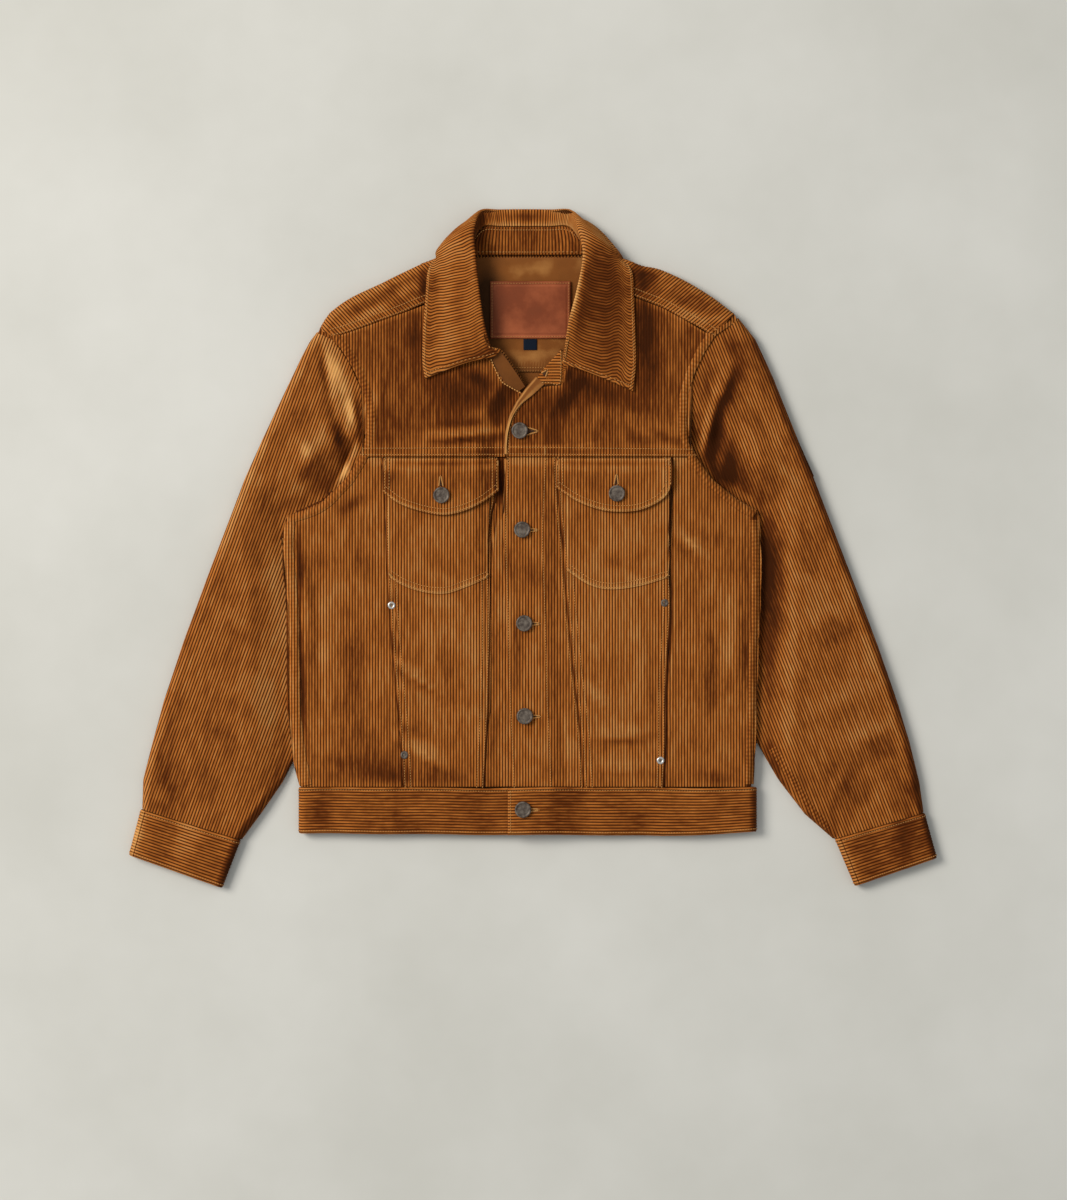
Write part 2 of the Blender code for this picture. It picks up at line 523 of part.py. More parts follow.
patch_left, patch_right = [(-47.3, 231.1), (-47.3, 293.8)], [(41.8, 231.1), (41.8, 293.8)]
panel("leather_patch", patch_left, patch_right, spread(0, 1, 4), spread(0, 1, 6),
      lambda x, y: facing_top(x, y) + 0.6 + 1.8, 1.8, LEATHER, curve=straight)
tab_left, tab_right = [(-10.5, 218.5), (-10.5, 230.5)], [(4.4, 218.5), (4.4, 230.5)]
panel("size_tab", tab_left, tab_right, [0, 0.5, 1], [0, 0.5, 1],
      lambda x, y: facing_top(x, y) + 0.4 + 0.9, 0.9, NAVY, curve=straight)


# ---------------------------------------------------------------- collar
def collar_point(u, v):
    """Fall of the collar: v 0 at its seam with the stand, over the roll, to its outer edge at 4."""
    fall = spline(FALL_LINES, u)
    stand = spline(STAND_LINES, u + 2)
    lift = np.array([0, 0, 4.2 * smooth(abs(u - 8), 5.5, 7)])
    line = [stand[3:6] + lift, fall[0:3], fall[3:6], fall[6:9], fall[9:12]]
    start = 0.02 + 0.27 * smooth(abs(u - 8), 1.5, 4)
    point = spline(line, start + (4 - start) * v / 4)
    return np.array([point[0], point[1], max(point[2], 0.0)])


def stand_point(u, v):
    """Stand of the collar: v 0 at the neck seam, 1 at the fall."""
    row = spline(STAND_LINES, u)
    start, end = 0.06, 0.99 - 0.13 * smooth(abs(u - 10), 2, 4)
    return row[0:3] + (row[3:6] - row[0:3]) * (start + (end - start) * v)


wall("collar", grid(spread(0, 16, 32), [0, 0.4, 0.75, 1, 1.25, 1.6, 2, 2.5, 3, 3.5, 4], collar_point),
     COLLAR, CORDUROY)
wall("collar_stand", grid(spread(0, 20, 40), [0, 0.5, 1], stand_point), STAND, CORDUROY)


# ---------------------------------------------------------------- sleeves
for tag, side, rows in (("left", -1, SLEEVE_LEFT), ("right", 1, SLEEVE_RIGHT)):
    outer, upper, under = (column(rows, *c) for c in ((0, 1), (2, 3), (4, 5)))
    ends = (outer, upper) if side < 0 else (upper, outer)
    us = rolled(ROLL, 150, 6, both=True)
    vs = spread(0, 6, 9) + spread(6.6, 13, 12)
    panel(f"sleeve_upper_{tag}", *ends, us, vs, sleeve_top, curve=straight, inset=(2.2, 2.2, 1, 1))
    ends = (outer, under) if side < 0 else (under, outer)
    panel(f"sleeve_under_{tag}", *ends, [0, 0.5, 1], spread(0, 13, 18), lambda x, y: 0.0,
          under=True, curve=straight, inset=(1.6, 1.6, 1, 1))


def band(name, corners, height, thickness, count, rows):
    """A closed flat band between its upper and lower edges, given by their end points."""
    (ax, ay), (bx, by), (cx, cy), (dx, dy) = corners
    radius = height / 2
    width = math.hypot(bx - ax, by - ay)

    def place(u, v):
        straight_part = width - 2 * radius
        if u < 1:
            n, z = radius + straight_part * u, height
        elif u <= 2:
            n, z = width - radius + radius * math.sin((u - 1) * math.pi), radius + radius * math.cos((u - 1) * math.pi)
        elif u < 3:
            n, z = width - radius - straight_part * (u - 2), 0
        else:
            n, z = radius - radius * math.sin((u - 3) * math.pi), radius - radius * math.cos((u - 3) * math.pi)
        n /= width
        top = (ax + (bx - ax) * n, ay + (by - ay) * n)
        low = (dx + (cx - dx) * n, dy + (cy - dy) * n)
        return low[0] + (top[0] - low[0]) * v, low[1] + (top[1] - low[1]) * v, z

    flat, turn = spread(0, 1, count), [0.15, 0.33, 0.5, 0.67, 0.85]
    us = (flat + [1 + t for t in turn] + [2 + t for t in flat] + [3 + t for t in turn] + [4])
    bm = grid(us, spread(0, 1, rows), place)
    bmesh.ops.remove_doubles(bm, verts=bm.verts, dist=0.00002)
    return wall(name, bm, thickness, CORDUROY)


band("cuff_left", ((-432.3, -287.4), (-321.8, -321.6), (-342.1, -374.4), (-445.5, -337.6)), 12.5, CUFF, 5, 3)
band("cuff_right", ((332.2, -320.4), (431.8, -291.3), (445.5, -340.9), (354.2, -372.2)), 12.5, CUFF, 5, 3)

# Waistband, from its right front end round the back to its left front end: x, z of its outer side.
WAISTBAND = [
    (-27.9, 18.0), (-3.3, 18.1), (19.8, 17.8), (36.3, 15.4), (56.1, 13.6), (95.7, 13.2),
    (144.1, 13.2), (194.7, 13.2), (239.8, 13.2), (243.7, 12.2), (246.4, 9.5), (246.8, 6.6),
    (246.4, 3.7), (243.7, 1.0), (239.8, 0), (194.7, 0), (144.1, 0), (95.7, 0), (47.3, 0),
    (-1.1, 0), (-49.5, 0), (-97.9, 0), (-146.3, 0), (-194.7, 0), (-251.4, 0), (-255.2, 1.0),
    (-258, 3.7), (-258.5, 6.6), (-258, 9.5), (-255.2, 12.2), (-251.4, 13.2), (-212.3, 13.2),
    (-168.3, 13.2), (-124.3, 13.2), (-80.3, 13.2), (-47.3, 13.2), (-14.3, 13.0), (16.5, 13.0),
]
# x, y of the hem's lower edge
HEM = [(-258.5, -313.9), (-146.3, -315), (-28.6, -315), (62.7, -316.1), (143, -316.7), (246.8, -312.3)]


def waistband_point(u, v):
    x, z = WAISTBAND[u]
    low = float(np.interp(x, *np.array(HEM).T))
    top = HEM_Y - 2 * SEAM
    return x, low + (top - low) * v, z


wall("waistband", grid(list(range(len(WAISTBAND))), [0, 0.33, 0.67, 1], waistband_point), BAND, CORDUROY)


# ---------------------------------------------------------------- buttons and rivets
def turned(name, x, y, z, profile, mat, sides):
    """A turned metal piece from its profile of radius and height."""
    mesh = bpy.data.meshes.new(name)
    bm = bmesh.new()
    last = None
    for radius, height in profile:
        vert = bm.verts.new((radius * MM, 0, height * MM))
        if last:
            bm.edges.new((last, vert))
        last = vert
    bm.to_mesh(mesh)
    bm.free()
    mesh.materials.append(mat)
    obj = bpy.data.objects.new(name, mesh)
    obj.location = (x * MM, y * MM, z * MM)
    jacket.objects.link(obj)
    screw = obj.modifiers.new("turn", "SCREW")
    screw.steps = screw.render_steps = sides
    screw.use_merge_vertices = True
    screw.merge_threshold = 0.00001
    screw.use_smooth_shade = True
    return obj


# radius, height, from the crown down the outside to the foot
BUTTON = [(0, 4.1), (5.6, 4.0), (7.4, 4.2), (BUTTON_R - 0.5, 4.1), (BUTTON_R, 3.4), (BUTTON_R - 0.6, 2.4),
          (4.2, 2.0), (4.0, 0), (0, 0)]
RIVET = [(0, 1.9), (1.8, 1.8), (2.1, 1.3), (3.2, 1.7), (RIVET_R - 0.4, 1.1), (RIVET_R, 0.3), (RIVET_R - 0.3, 0), (0, 0)]
for name, x, y, base in BUTTONS:
    if base == "band":
        z = 18.1
    elif base == "flap":
        z = FRONT + LAP + 2.2 + FLAP
    else:
        z = front_top(x, y, 1)
    turned(name, x, y, z + 0.35, BUTTON, GUNMETAL, 16)
for name, x, y, metal in RIVETS:
    turned(name, x, y, front_top(x, y, 1 if x > 0 else -1) + 0.3, RIVET, METALS[metal], 12)
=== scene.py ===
import math

import bmesh
import bpy
import numpy as np
from mathutils import Matrix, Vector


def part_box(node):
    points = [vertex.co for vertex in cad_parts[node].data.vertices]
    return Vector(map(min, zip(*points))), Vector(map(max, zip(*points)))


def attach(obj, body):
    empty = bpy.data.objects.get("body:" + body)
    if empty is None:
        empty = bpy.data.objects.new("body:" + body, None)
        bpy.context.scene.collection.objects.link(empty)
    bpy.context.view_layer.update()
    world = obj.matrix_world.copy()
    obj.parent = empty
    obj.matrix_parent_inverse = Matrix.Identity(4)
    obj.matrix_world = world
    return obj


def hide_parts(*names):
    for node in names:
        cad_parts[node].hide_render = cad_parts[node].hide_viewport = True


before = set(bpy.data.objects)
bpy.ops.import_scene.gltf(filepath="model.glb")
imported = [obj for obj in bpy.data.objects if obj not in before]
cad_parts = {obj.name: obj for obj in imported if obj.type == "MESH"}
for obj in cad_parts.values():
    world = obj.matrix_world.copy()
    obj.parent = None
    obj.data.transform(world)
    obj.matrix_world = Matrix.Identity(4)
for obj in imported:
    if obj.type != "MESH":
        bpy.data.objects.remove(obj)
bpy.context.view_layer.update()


# ---------------------------------------------------------------- back panel
# The back is one cut of heavy cotton corduroy, its ribs upright, 8 of them to the inch. It lies flat
# on the floor, and rises over the heads of the sleeves and over the fall of the collar beneath it.
MM = 0.001
WALE = 3.175         # from rib to rib
COVER = 7.0          # underside of the back over a sleeve
OVER_COLLAR = 4.3    # and over the fall of the collar
YOKE_Y, HEM_Y = 100.2, -262.6
PAINTED_LIGHT_LEAN = np.array([-0.9, 1.1, 0.0])    # painted light: cloth that slopes this way, toward the lamp, is painted paler


def linear(code):
    """sRGB hex to linear colour."""
    parts = [int(code[i:i + 2], 16) / 255 for i in (1, 3, 5)]
    return [c / 12.92 if c <= 0.04045 else ((c + 0.055) / 1.055) ** 2.4 for c in parts] + [1.0]


def feed(tree, node, settings=None, **links):
    """Sets a node's fields, sockets and colour stops, and links what feeds it: a socket, or a node's first."""
    for name, value in (settings or {}).items():
        if name == "stops":
            ramp = node.color_ramp.elements
            for end in (0, -1):
                ramp[end].position, ramp[end].color = value[end][0], linear(value[end][1])
            for position, code in value[1:-1]:
                ramp.new(position).color = linear(code)
        elif isinstance(name, int) or name in node.inputs:
            node.inputs[name].default_value = value
        else:
            setattr(node, name, value)
    for name, source in links.items():
        key = int(name[1:]) if name[1:].isdigit() else name.replace("_", " ")
        tree.links.new(source if isinstance(source, bpy.types.NodeSocket) else source.outputs[0], node.inputs[key])
    return node


def add(tree, kind, settings=None, **links):
    return feed(tree, tree.nodes.new("ShaderNode" + kind), settings, **links)


def finish_named(name):
    """A new material: its tree and its Principled shader."""
    mat = bpy.data.materials.new(name)
    mat.use_nodes = True
    return mat, mat.node_tree, mat.node_tree.nodes["Principled BSDF"]


# Cotton corduroy, pile woven in ribs and cut. Light and shade are painted into its colour: the tips of the pile run
# from painted shade to a painted highlight with the painted light of each piece, and the grooves between the ribs are
# painted dark as their shade, less so where the piece is painted lit. Patches where the pile was pressed or brushed
# show as clouds of 45 by 65 mm. Its tufts are drawn 0.55 by 1.9 mm, coarser than the hairs, and its streaks 3.2 by 26
# mm.
CORDUROY, tree, shader = finish_named("cotton_corduroy_8_wale")
uv = add(tree, "UVMap", {"uv_map": "cut"})
across = add(tree, "SeparateXYZ", Vector=uv)
ribs = add(tree, "Math", {"operation": "MULTIPLY", 1: 1 / (WALE * MM)}, i0=across)
turn = add(tree, "Math", {"operation": "PINGPONG", 1: 0.5}, i0=ribs)
groove = add(tree, "MapRange", {"interpolation_type": "SMOOTHSTEP", "From Min": 0.10, "From Max": 0.46}, Value=turn)
tuft = add(tree, "Mapping", {"Scale": (1 / (0.55 * MM), 1 / (1.9 * MM), 1)}, Vector=uv)
fibre = add(tree, "TexNoise", {"Scale": 1.0, "Detail": 2.0, "Roughness": 0.6}, Vector=tuft)
streak = add(tree, "Mapping", {"Scale": (1 / (3.2 * MM), 1 / (26 * MM), 1)}, Vector=uv)
streaks = add(tree, "TexNoise", {"Scale": 1.0, "Detail": 3.0, "Roughness": 0.65}, Vector=streak)
patch = add(tree, "Mapping", {"Scale": (22, 15, 22)}, Vector=add(tree, "TexCoord").outputs["Object"])
patches = add(tree, "TexNoise", {"Scale": 1.0, "Detail": 4.0, "Roughness": 0.55, "Distortion": 0.6}, Vector=patch)
nap = add(tree, "Attribute", {"attribute_name": "nap"}).outputs["Fac"]
cloud = add(tree, "MapRange", {"From Min": 0.34, "From Max": 0.66, "To Min": 0.425, "To Max": 0.575}, Value=patches)
# The clouds and streaks of the pile, with the painted light and shade of the piece added in.
brushed_and_painted_light = add(tree, "Math", {"operation": "ADD"}, i0=cloud, i1=nap)
some = add(tree, "MapRange", {"From Min": 0.35, "From Max": 0.65, "To Min": -0.11, "To Max": 0.11}, Value=streaks)
tone_with_painted_light = add(tree, "Math", {"operation": "ADD", "use_clamp": True}, i0=brushed_and_painted_light, i1=some)
tips_with_painted_light = add(tree, "ValToRGB", {"stops": [(0, "#3E1C06"), (0.24, "#7A3D12"), (0.5, "#C2722E"), (1, "#F0B066")]}, Fac=tone_with_painted_light)
hairs = add(tree, "Mix", {"data_type": "RGBA", "blend_type": "MULTIPLY", "Factor": 0.35},
            i6=tips_with_painted_light, i7=fibre.outputs["Color"])
# Painted shade in the grooves between the ribs, toward dark brown, weaker where the piece is painted lit.
grooves_open_where_lit = add(tree, "MapRange", {"From Min": 0.2, "From Max": 0.55, "To Min": 1.0, "To Max": 0.3}, Value=nap)
groove_shade = add(tree, "Math", {"operation": "MULTIPLY"}, i0=groove, i1=grooves_open_where_lit)
with_groove_shade = add(tree, "Mix", {"data_type": "RGBA", 7: linear("#3A1804")}, i0=groove_shade, i6=hairs.outputs[2])
nub = add(tree, "Bump", {"Strength": 0.5, "Distance": 0.0004}, Height=fibre)
feed(tree, shader, {"Roughness": 0.88, "Specular IOR Level": 0.06, "Sheen Weight": 0.1, "Sheen Roughness": 0.4,
                    "Sheen Tint": linear("#FFC070")}, Base_Color=with_groove_shade.outputs[2], Normal=nub)

# Smooth cotton twill of the facings, and the plain wrong side of the corduroy: a slanted weave, a little worn and
# soiled, with the painted light and shade of each piece in its colour. Its ridges are drawn 1.2 mm apart, where real
# ones are nearer to 0.7 mm.
TWILL, tree, shader = finish_named("cotton_twill_facing")
uv = add(tree, "UVMap", {"uv_map": "cut"})
lean = add(tree, "Mapping", {"Rotation": (0, 0, math.radians(60))}, Vector=uv)
ridges = add(tree, "TexWave", {"Scale": 260.0, "Distortion": 0.6, "Detail": 1.0}, Vector=lean)
soil = add(tree, "TexNoise", {"Scale": 45.0, "Detail": 3.0}, Vector=uv)
nap = add(tree, "Attribute", {"attribute_name": "nap"}).outputs["Fac"]
worn = add(tree, "MapRange", {"From Min": 0.3, "From Max": 0.7, "To Min": 0.42, "To Max": 0.58}, Value=soil)
tone_with_painted_light = add(tree, "Math", {"operation": "ADD", "use_clamp": True}, i0=worn, i1=nap)
dye_with_painted_light = add(tree, "ValToRGB", {"stops": [(0, "#3F2206"), (0.5, "#824B1B"), (1, "#E8A85C")]}, Fac=tone_with_painted_light)
weave = add(tree, "Mix", {"data_type": "RGBA", "blend_type": "MULTIPLY", "Factor": 0.18},
            i6=dye_with_painted_light, i7=ridges.outputs["Color"])
relief = add(tree, "Bump", {"Strength": 0.35, "Distance": 0.0003}, Height=ridges.outputs["Fac"])
feed(tree, shader, {"Roughness": 0.82, "Specular IOR Level": 0.15, "Sheen Weight": 0.05},
     Base_Color=weave.outputs[2], Normal=relief)


def smooth(x, low, high):
    t = np.clip((x - low) / (high - low), 0, 1)
    return t * t * (3 - 2 * t)


def rounded(d, width):
    """Share of the full height at a distance d in from a rolled edge."""
    return np.sqrt(np.clip(1 - (1 - np.clip(d / width, 0, 1)) ** 2, 0, 1))


def nearest(rows, x, y):
    """Distance from points to a line of rows, and the rest of its values there."""
    p = np.asarray(rows, float)
    a, ab = p[:-1, :2], np.diff(p[:, :2], axis=0)
    best, rest = np.full(len(x), 1e9), np.zeros((len(x), p.shape[1] - 2))
    for i in range(len(a)):
        t = np.clip(((x - a[i, 0]) * ab[i, 0] + (y - a[i, 1]) * ab[i, 1]) / (ab[i] ** 2).sum(), 0, 1)
        d = np.hypot(a[i, 0] + ab[i, 0] * t - x, a[i, 1] + ab[i, 1] * t - y)
        near = d < best
        best[near] = d[near]
        rest[near] = (p[i, 2:] + (p[i + 1, 2:] - p[i, 2:]) * t[:, None])[near]
    return best, rest


def fold_and_light_strips(x, y, table):
    """Folds, and strips of painted light and shade, in rows. Each row: x, y, x, y, half width, height, with a valley
    or painted shade below zero.
    """
    z = np.zeros(len(x))
    for ax, ay, bx, by, width, height in table:
        length = math.hypot(bx - ax, by - ay)
        ux, uy = (bx - ax) / length, (by - ay) / length
        along = (x - ax) * ux + (y - ay) * uy
        aside = (x - ax) * -uy + (y - ay) * ux
        past = np.maximum(np.maximum(-along, along - length), 0)
        taper = np.clip(np.minimum(along, length - along) / (0.45 * length), 0, 1)
        z += height * (0.25 + 0.75 * taper) * np.exp(-(aside / width) ** 2 - (past / (1.6 * width)) ** 2)
    return z


def rib_at(t, cell=WALE):
    """Share of the full height of the ribs, at a distance t across them."""
    return 1 - np.abs(2 * (t / cell - np.rint(t / cell))) ** 3


def listed_painted_light(table, base=0.0):
    """Painted light and shade from a table of strips, over an even painted tone."""
    return lambda x, y: fold_and_light_strips(x, y, table) + base


def meshed(name, bm):
    """A smooth shaded mesh, made from a finished bmesh."""
    mesh = bpy.data.meshes.new(name)
    bm.to_mesh(mesh)
    bm.free()
    mesh.shade_smooth()
    return mesh


def put_on(name, mesh, mats, nodes=()):
    """Puts a finished mesh on the jacket, in the place of its solids."""
    for mat in mats:
        mesh.materials.append(mat)
    piece = bpy.data.objects.new(name, mesh)
    bpy.context.scene.collection.objects.link(piece)
    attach(piece, "root")
    if nodes:
        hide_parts(*nodes)
    return piece


def flat_grid(name, columns, rows, flip=False):
    """A grid, with the column and the row of each of its points."""
    bm = bmesh.new()
    bmesh.ops.create_grid(bm, x_segments=columns - 1, y_segments=rows - 1, size=1)
    if flip:
        bmesh.ops.reverse_faces(bm, faces=bm.faces)
    mesh = meshed(name, bm)
    co = np.zeros(len(mesh.vertices) * 3, np.float32)
    mesh.vertices.foreach_get("co", co)
    i, j = ((co.reshape(-1, 3)[:, k] + 1) / 2 * (count - 1) for k, count in ((0, columns), (1, rows)))
    return mesh, np.rint(i).astype(int), np.rint(j).astype(int)


def shape(mesh, points):
    mesh.vertices.foreach_set("co", (points * MM).astype(np.float32).ravel())
    mesh.update()


def sewn_in(name, mesh, points, cut, nap, wall, mats, nodes=()):
    """Shapes a sheet, marks its cut and its painted light and shade on it, and gives it the wall of the cloth."""
    shape(mesh, points)
    corner = np.zeros(len(mesh.loops), np.int32)
    mesh.loops.foreach_get("vertex_index", corner)
    layer = mesh.uv_layers.new(name="cut")
    layer.data.foreach_set("uv", (cut[corner] * MM).astype(np.float32).ravel())
    mesh.attributes.new("nap", "FLOAT", "POINT").data.foreach_set("value", nap.astype(np.float32))
    piece = put_on(name, mesh, mats, nodes)
    thick = piece.modifiers.new("wall", "SOLIDIFY")
    thick.thickness, thick.offset, thick.material_offset = wall * MM, -1, len(mats) - 1
    return piece


GAP = 60             # a rib goes on over a notch of the cut that is shorter
TURN_IN = 2.2        # what the rounded end of a rib takes of its length
END_ROWS = np.array([0, 0.45, 1.1])    # rows that round it
DRAWN = 1.2          # stretch across the ribs past which more of them are laid in


def cloth(name, cut, tilt, place, nodes, held="laid", wall=1.7, step=6.0, pile=0.5, edge=(0.9, 1.8),
          mats=(CORDUROY,), slot="corduroy", rests=("back_panel",), flip=False, cell=WALE, painted_shading=0.0,
          columns=(0.25, 0.5, 0.75), rim=0.0):
    """One cut piece of cloth. cut is its outline in mm and tilt the way that its ribs lean; place()
    puts the cut where it lies. Its columns run along the ribs, so each rib stands up from the mesh."""
    cut = np.array(cut, float)
    lean = math.radians(tilt)
    across = np.array([math.cos(lean), -math.sin(lean)])
    along = np.array([math.sin(lean), math.cos(lean)])
    t_cut, s_cut = cut @ across, cut @ along
    t_next, s_next = np.roll(t_cut, -1), np.roll(s_cut, -1)
    low, high = t_cut.min(), t_cut.max()
    lines = (np.arange(math.floor(low / cell), math.ceil(high / cell) + 1)[:, None] + columns) * cell
    lines = lines[(lines > low + 0.2) & (lines < high - 0.2)]
    lines = np.concatenate([[low + 0.02], lines, [high - 0.02]])
    spans = []
    for t in lines:
        hit = (t_cut <= t) != (t_next <= t)
        a, b, c, d = t_cut[hit], t_next[hit], s_cut[hit], s_next[hit]
        ends = np.sort(c + (d - c) * (t - a) / (b - a)).reshape(-1, 2).tolist()
        joined = [ends[0]]
        for start, end in ends[1:]:
            if start - joined[-1][1] < GAP:
                joined[-1][1] = end
            else:
                joined.append([start, end])
        spans.append(max(joined, key=lambda e: e[1] - e[0]))
    spans = np.array(spans)
    inner = np.linspace(0, 1, max(2, int(np.diff(spans).max() / step)) + 1)
    rows = len(inner) + 6

    mesh, i, j = flat_grid(name, len(lines), rows, flip)
    start, length = spans[i, 0], spans[i, 1] - spans[i, 0]
    short = np.minimum(1, length / 12)
    hem = TURN_IN * short
    body = hem + (length - 2 * hem) * np.concatenate([[0, 0, 0], inner, [1, 1, 1]])[j]
    ends = np.concatenate([END_ROWS, np.zeros(rows - 6), END_ROWS[::-1]])[j] * short
    s = start + np.where(j < 3, ends, np.where(j >= rows - 3, length - ends, body))
    t = lines[i]
    x, y = t * across[0] + s * along[0], t * across[1] + s * along[1]
    points = np.array(place(x, y)).T
    shape(mesh, points)
    normals = np.zeros(len(points) * 3, np.float32)
    mesh.vertex_normals.foreach_get("vector", normals)
    normals = normals.reshape(-1, 3)

    rib = rib_at(t, cell)
    if held == "laid":    # seen end on, the ribs of a steep wall stay flat
        rib = 1 - (1 - rib) * np.clip(1.3 * normals[:, 2] ** 2 - 0.1, 0, 1)
    grid = np.zeros((rows, len(lines), 4))
    grid[j, i] = np.column_stack([points, s])
    drawn = np.diff(grid, axis=1) ** 2
    drawn = np.sqrt(np.clip(drawn[:, :, :3].sum(2) - drawn[:, :, 3], 0, None)) - DRAWN * np.diff(lines)
    excess = np.concatenate([np.zeros((rows, 1)), np.cumsum(np.clip(drawn, 0, None), axis=1)], 1)
    excess = (excess - excess[:, [len(lines) // 2]])[j, i]
    rim_d, _ = nearest(np.vstack([cut, cut[:1]]), x, y)
    points += normals * (-pile * (1 - rib) - edge[0] * (1 - rounded(rim_d, edge[1])))[:, None]
    # Painted light: cloth that slopes toward the lamp is painted paler and cloth that slopes away darker, and the
    # given painted light and shade of the piece goes on top.
    lay = np.clip(normals @ PAINTED_LIGHT_LEAN, -0.3, 0.16) + (painted_shading(points[:, 0], points[:, 1]) if callable(painted_shading) else painted_shading)
    # Painted highlight just in from the cut edge, and a painted dark line of shade right at it.
    lay += rim * np.exp(-((rim_d - 1.3) / 1.1) ** 2) - 0.7 * rim * np.exp(-(rim_d / 0.6) ** 2)
    piece = sewn_in(name, mesh, points, np.stack([t + excess, s], 1), lay, wall, mats, nodes)


# Sleeves, cuff to shoulder: outer fold, inner edge of the upper sleeve, inner edge of the under sleeve.
SLEEVE_LEFT = np.array([
    (-431.2, -287.3, -321.2, -321.4, -321.2, -321.4), (-430.1, -255.1, -297.6, -289.2, -297.6, -289.2),
    (-421.3, -219.9, -275, -256.2, -275, -256.2), (-407, -167.1, -253, -212.2, -253, -212.2),
    (-385, -101.1, -229.9, -142.9, -229.9, -142.9), (-360.8, -35.1, -206.8, -70.3, -206.8, -70.3),
    (-338.8, 22.1, -180.4, 3.4, -180.4, 3.4), (-317.9, 77.1, -176, 52.9, -168.3, 52.9),
    (-298.1, 121.1, -180.4, 94.7, -167.2, 91.4), (-279.4, 160.7, -183.7, 128.8, -167.2, 122.2),
    (-266.2, 188.2, -183.7, 149.7, -168.3, 144.2), (-255.2, 211.3, -189.2, 176.1, -173.8, 176.1),
    (-246.4, 227.8, -202.4, 204.7, -185.9, 205.8), (-238.2, 238.8, -220, 230, -222.2, 230),
])
SLEEVE_RIGHT = np.array([
    (431.2, -291.2, 331.1, -320.4, 331.1, -320.4), (426.3, -257.3, 300.3, -293.6, 300.3, -293.6),
    (415.8, -214.4, 270.6, -255.1, 270.6, -255.1), (401.5, -167.1, 246.4, -213.3, 246.4, -213.3),
    (378.4, -101.1, 225.5, -145.1, 225.5, -145.1), (353.1, -35.1, 201.3, -72.5, 201.3, -72.5),
    (331.1, 22.1, 174.9, 0.1, 174.9, 0.1), (310.2, 77.1, 168.3, 50.7, 161.7, 50.7),
    (291.5, 121.1, 168.3, 94.7, 157.3, 91.4), (276.1, 160.7, 170.5, 127.7, 155.1, 122.2),
    (265.1, 188.2, 169.4, 147.5, 154, 144.2), (255.2, 210.2, 171.6, 172.8, 158.4, 176.1),
    (245.3, 230.6, 183.7, 206.9, 171.6, 205.8), (226.6, 254.2, 199.1, 232.2, 207.9, 238.8),
])
HEAD = slice(2, 10)  # rows of a sleeve that the body covers


def back_under(x, y):
    """Underside of the back."""
    cover = np.zeros(len(x))
    for mask, sleeve, way in ((x < 0, SLEEVE_LEFT, 1), (x >= 0, SLEEVE_RIGHT, -1)):
        inner = np.interp(y[mask], sleeve[HEAD, 5], sleeve[HEAD, 4])
        cover[mask] = 1 - smooth(way * (x[mask] - inner), 14, 42)
    collar = smooth(y, 234.4, 303.7) * smooth(-abs(x + 8), -190, -100)
    return COVER * cover * (1 - smooth(y, 111.2, 146.4)) + OVER_COLLAR * collar


# Left edge of the back up from the hem, then its right edge down again.
BACK = [
    (-257.4, -262.2), (-262.9, -240.8), (-266.2, -216.6), (-268.4, -175.9), (-268.4, -135.2), (-268.4, -94.5),
    (-269.5, -63.7), (-273.9, -25.2), (-275.6, 11.1), (-270.1, 34.2), (-229.9, 49.6), (-201.3, 77.1), (-174.9, 96.9),
    (-166.7, 118.9), (-167.8, 144.2), (-173.2, 176.1), (-184.8, 205.3), (170.5, 205.3), (157.9, 176.1),
    (153.5, 144.2), (154, 118.9), (165, 96.9), (188.1, 85.9), (213.4, 59.5), (245.9, 40.8), (248.6, 11.1),
    (249.7, -25.2), (248.6, -63.7), (247, -94.5), (245.9, -135.2), (244.8, -175.9), (243.7, -216.6), (242, -240.8),
    (240.9, -262.2),
]
HIDDEN = {"flip": True, "rests": ["floor"], "columns": (0, 0.5)}    # cut that only the floor sees
cloth("back", BACK, 0, lambda x, y: (x, y, back_under(x, y)), ["back_panel"], step=16, mats=(CORDUROY, TWILL),
      **HIDDEN)


# ---------------------------------------------------------------- fronts
# Each front is three cuts of the same corduroy: a side panel, the long panel that carries the pocket,
# and the centre with the button stand. The right one closes over the left. They roll round at the sides.
FRONT = 15.0         # height of the fronts
ROLL = 8.0           # width of the rolled side edge
ON_BACK = 2.9        # where the rolled edge meets the back
LAPPED = 0.9         # how far a pocket panel stands over its neighbours


def outer_edge(*rows):
    """From the shoulder end to the hem: x, y, how far it rolls down, height of the sleeve beside it."""
    return np.array([row if len(row) == 4 else (*row, 1, 5.8) for row in rows])


EDGE_LEFT = outer_edge(
    (-221.1, 231.7, 0, 14), (-202.4, 204.7, 0, 14), (-189.2, 176.1, 0, 13.5), (-183.7, 149.7, 0, 12),
    (-183.7, 128.8, 0.35, 9), (-188.1, 110.1), (-192.5, 99.1), (-204.6, 79.3), (-217.8, 65), (-232.1, 50.7),
    (-253, 40.8), (-270.6, 35.3), (-276.1, 1.2), (-269.5, -57.1), (-268.4, -102.2), (-268.4, -175.9),
    (-266.2, -219.9), (-257.4, -262.6),
)
EDGE_RIGHT = outer_edge(
    (198, 232.2, 0, 14), (183.7, 206.9, 0, 14), (171.6, 172.8, 0, 13.5), (169.4, 147.5, 0, 12),
    (170.5, 127.7, 0.35, 9), (174.9, 112.3), (181.5, 99.1), (199.1, 74.9), (224.4, 55.1), (246.4, 41.9),
    (249.7, -13.1), (248.6, -68.1), (246.4, -114.3), (244.2, -195.7), (240.9, -262.6),
)
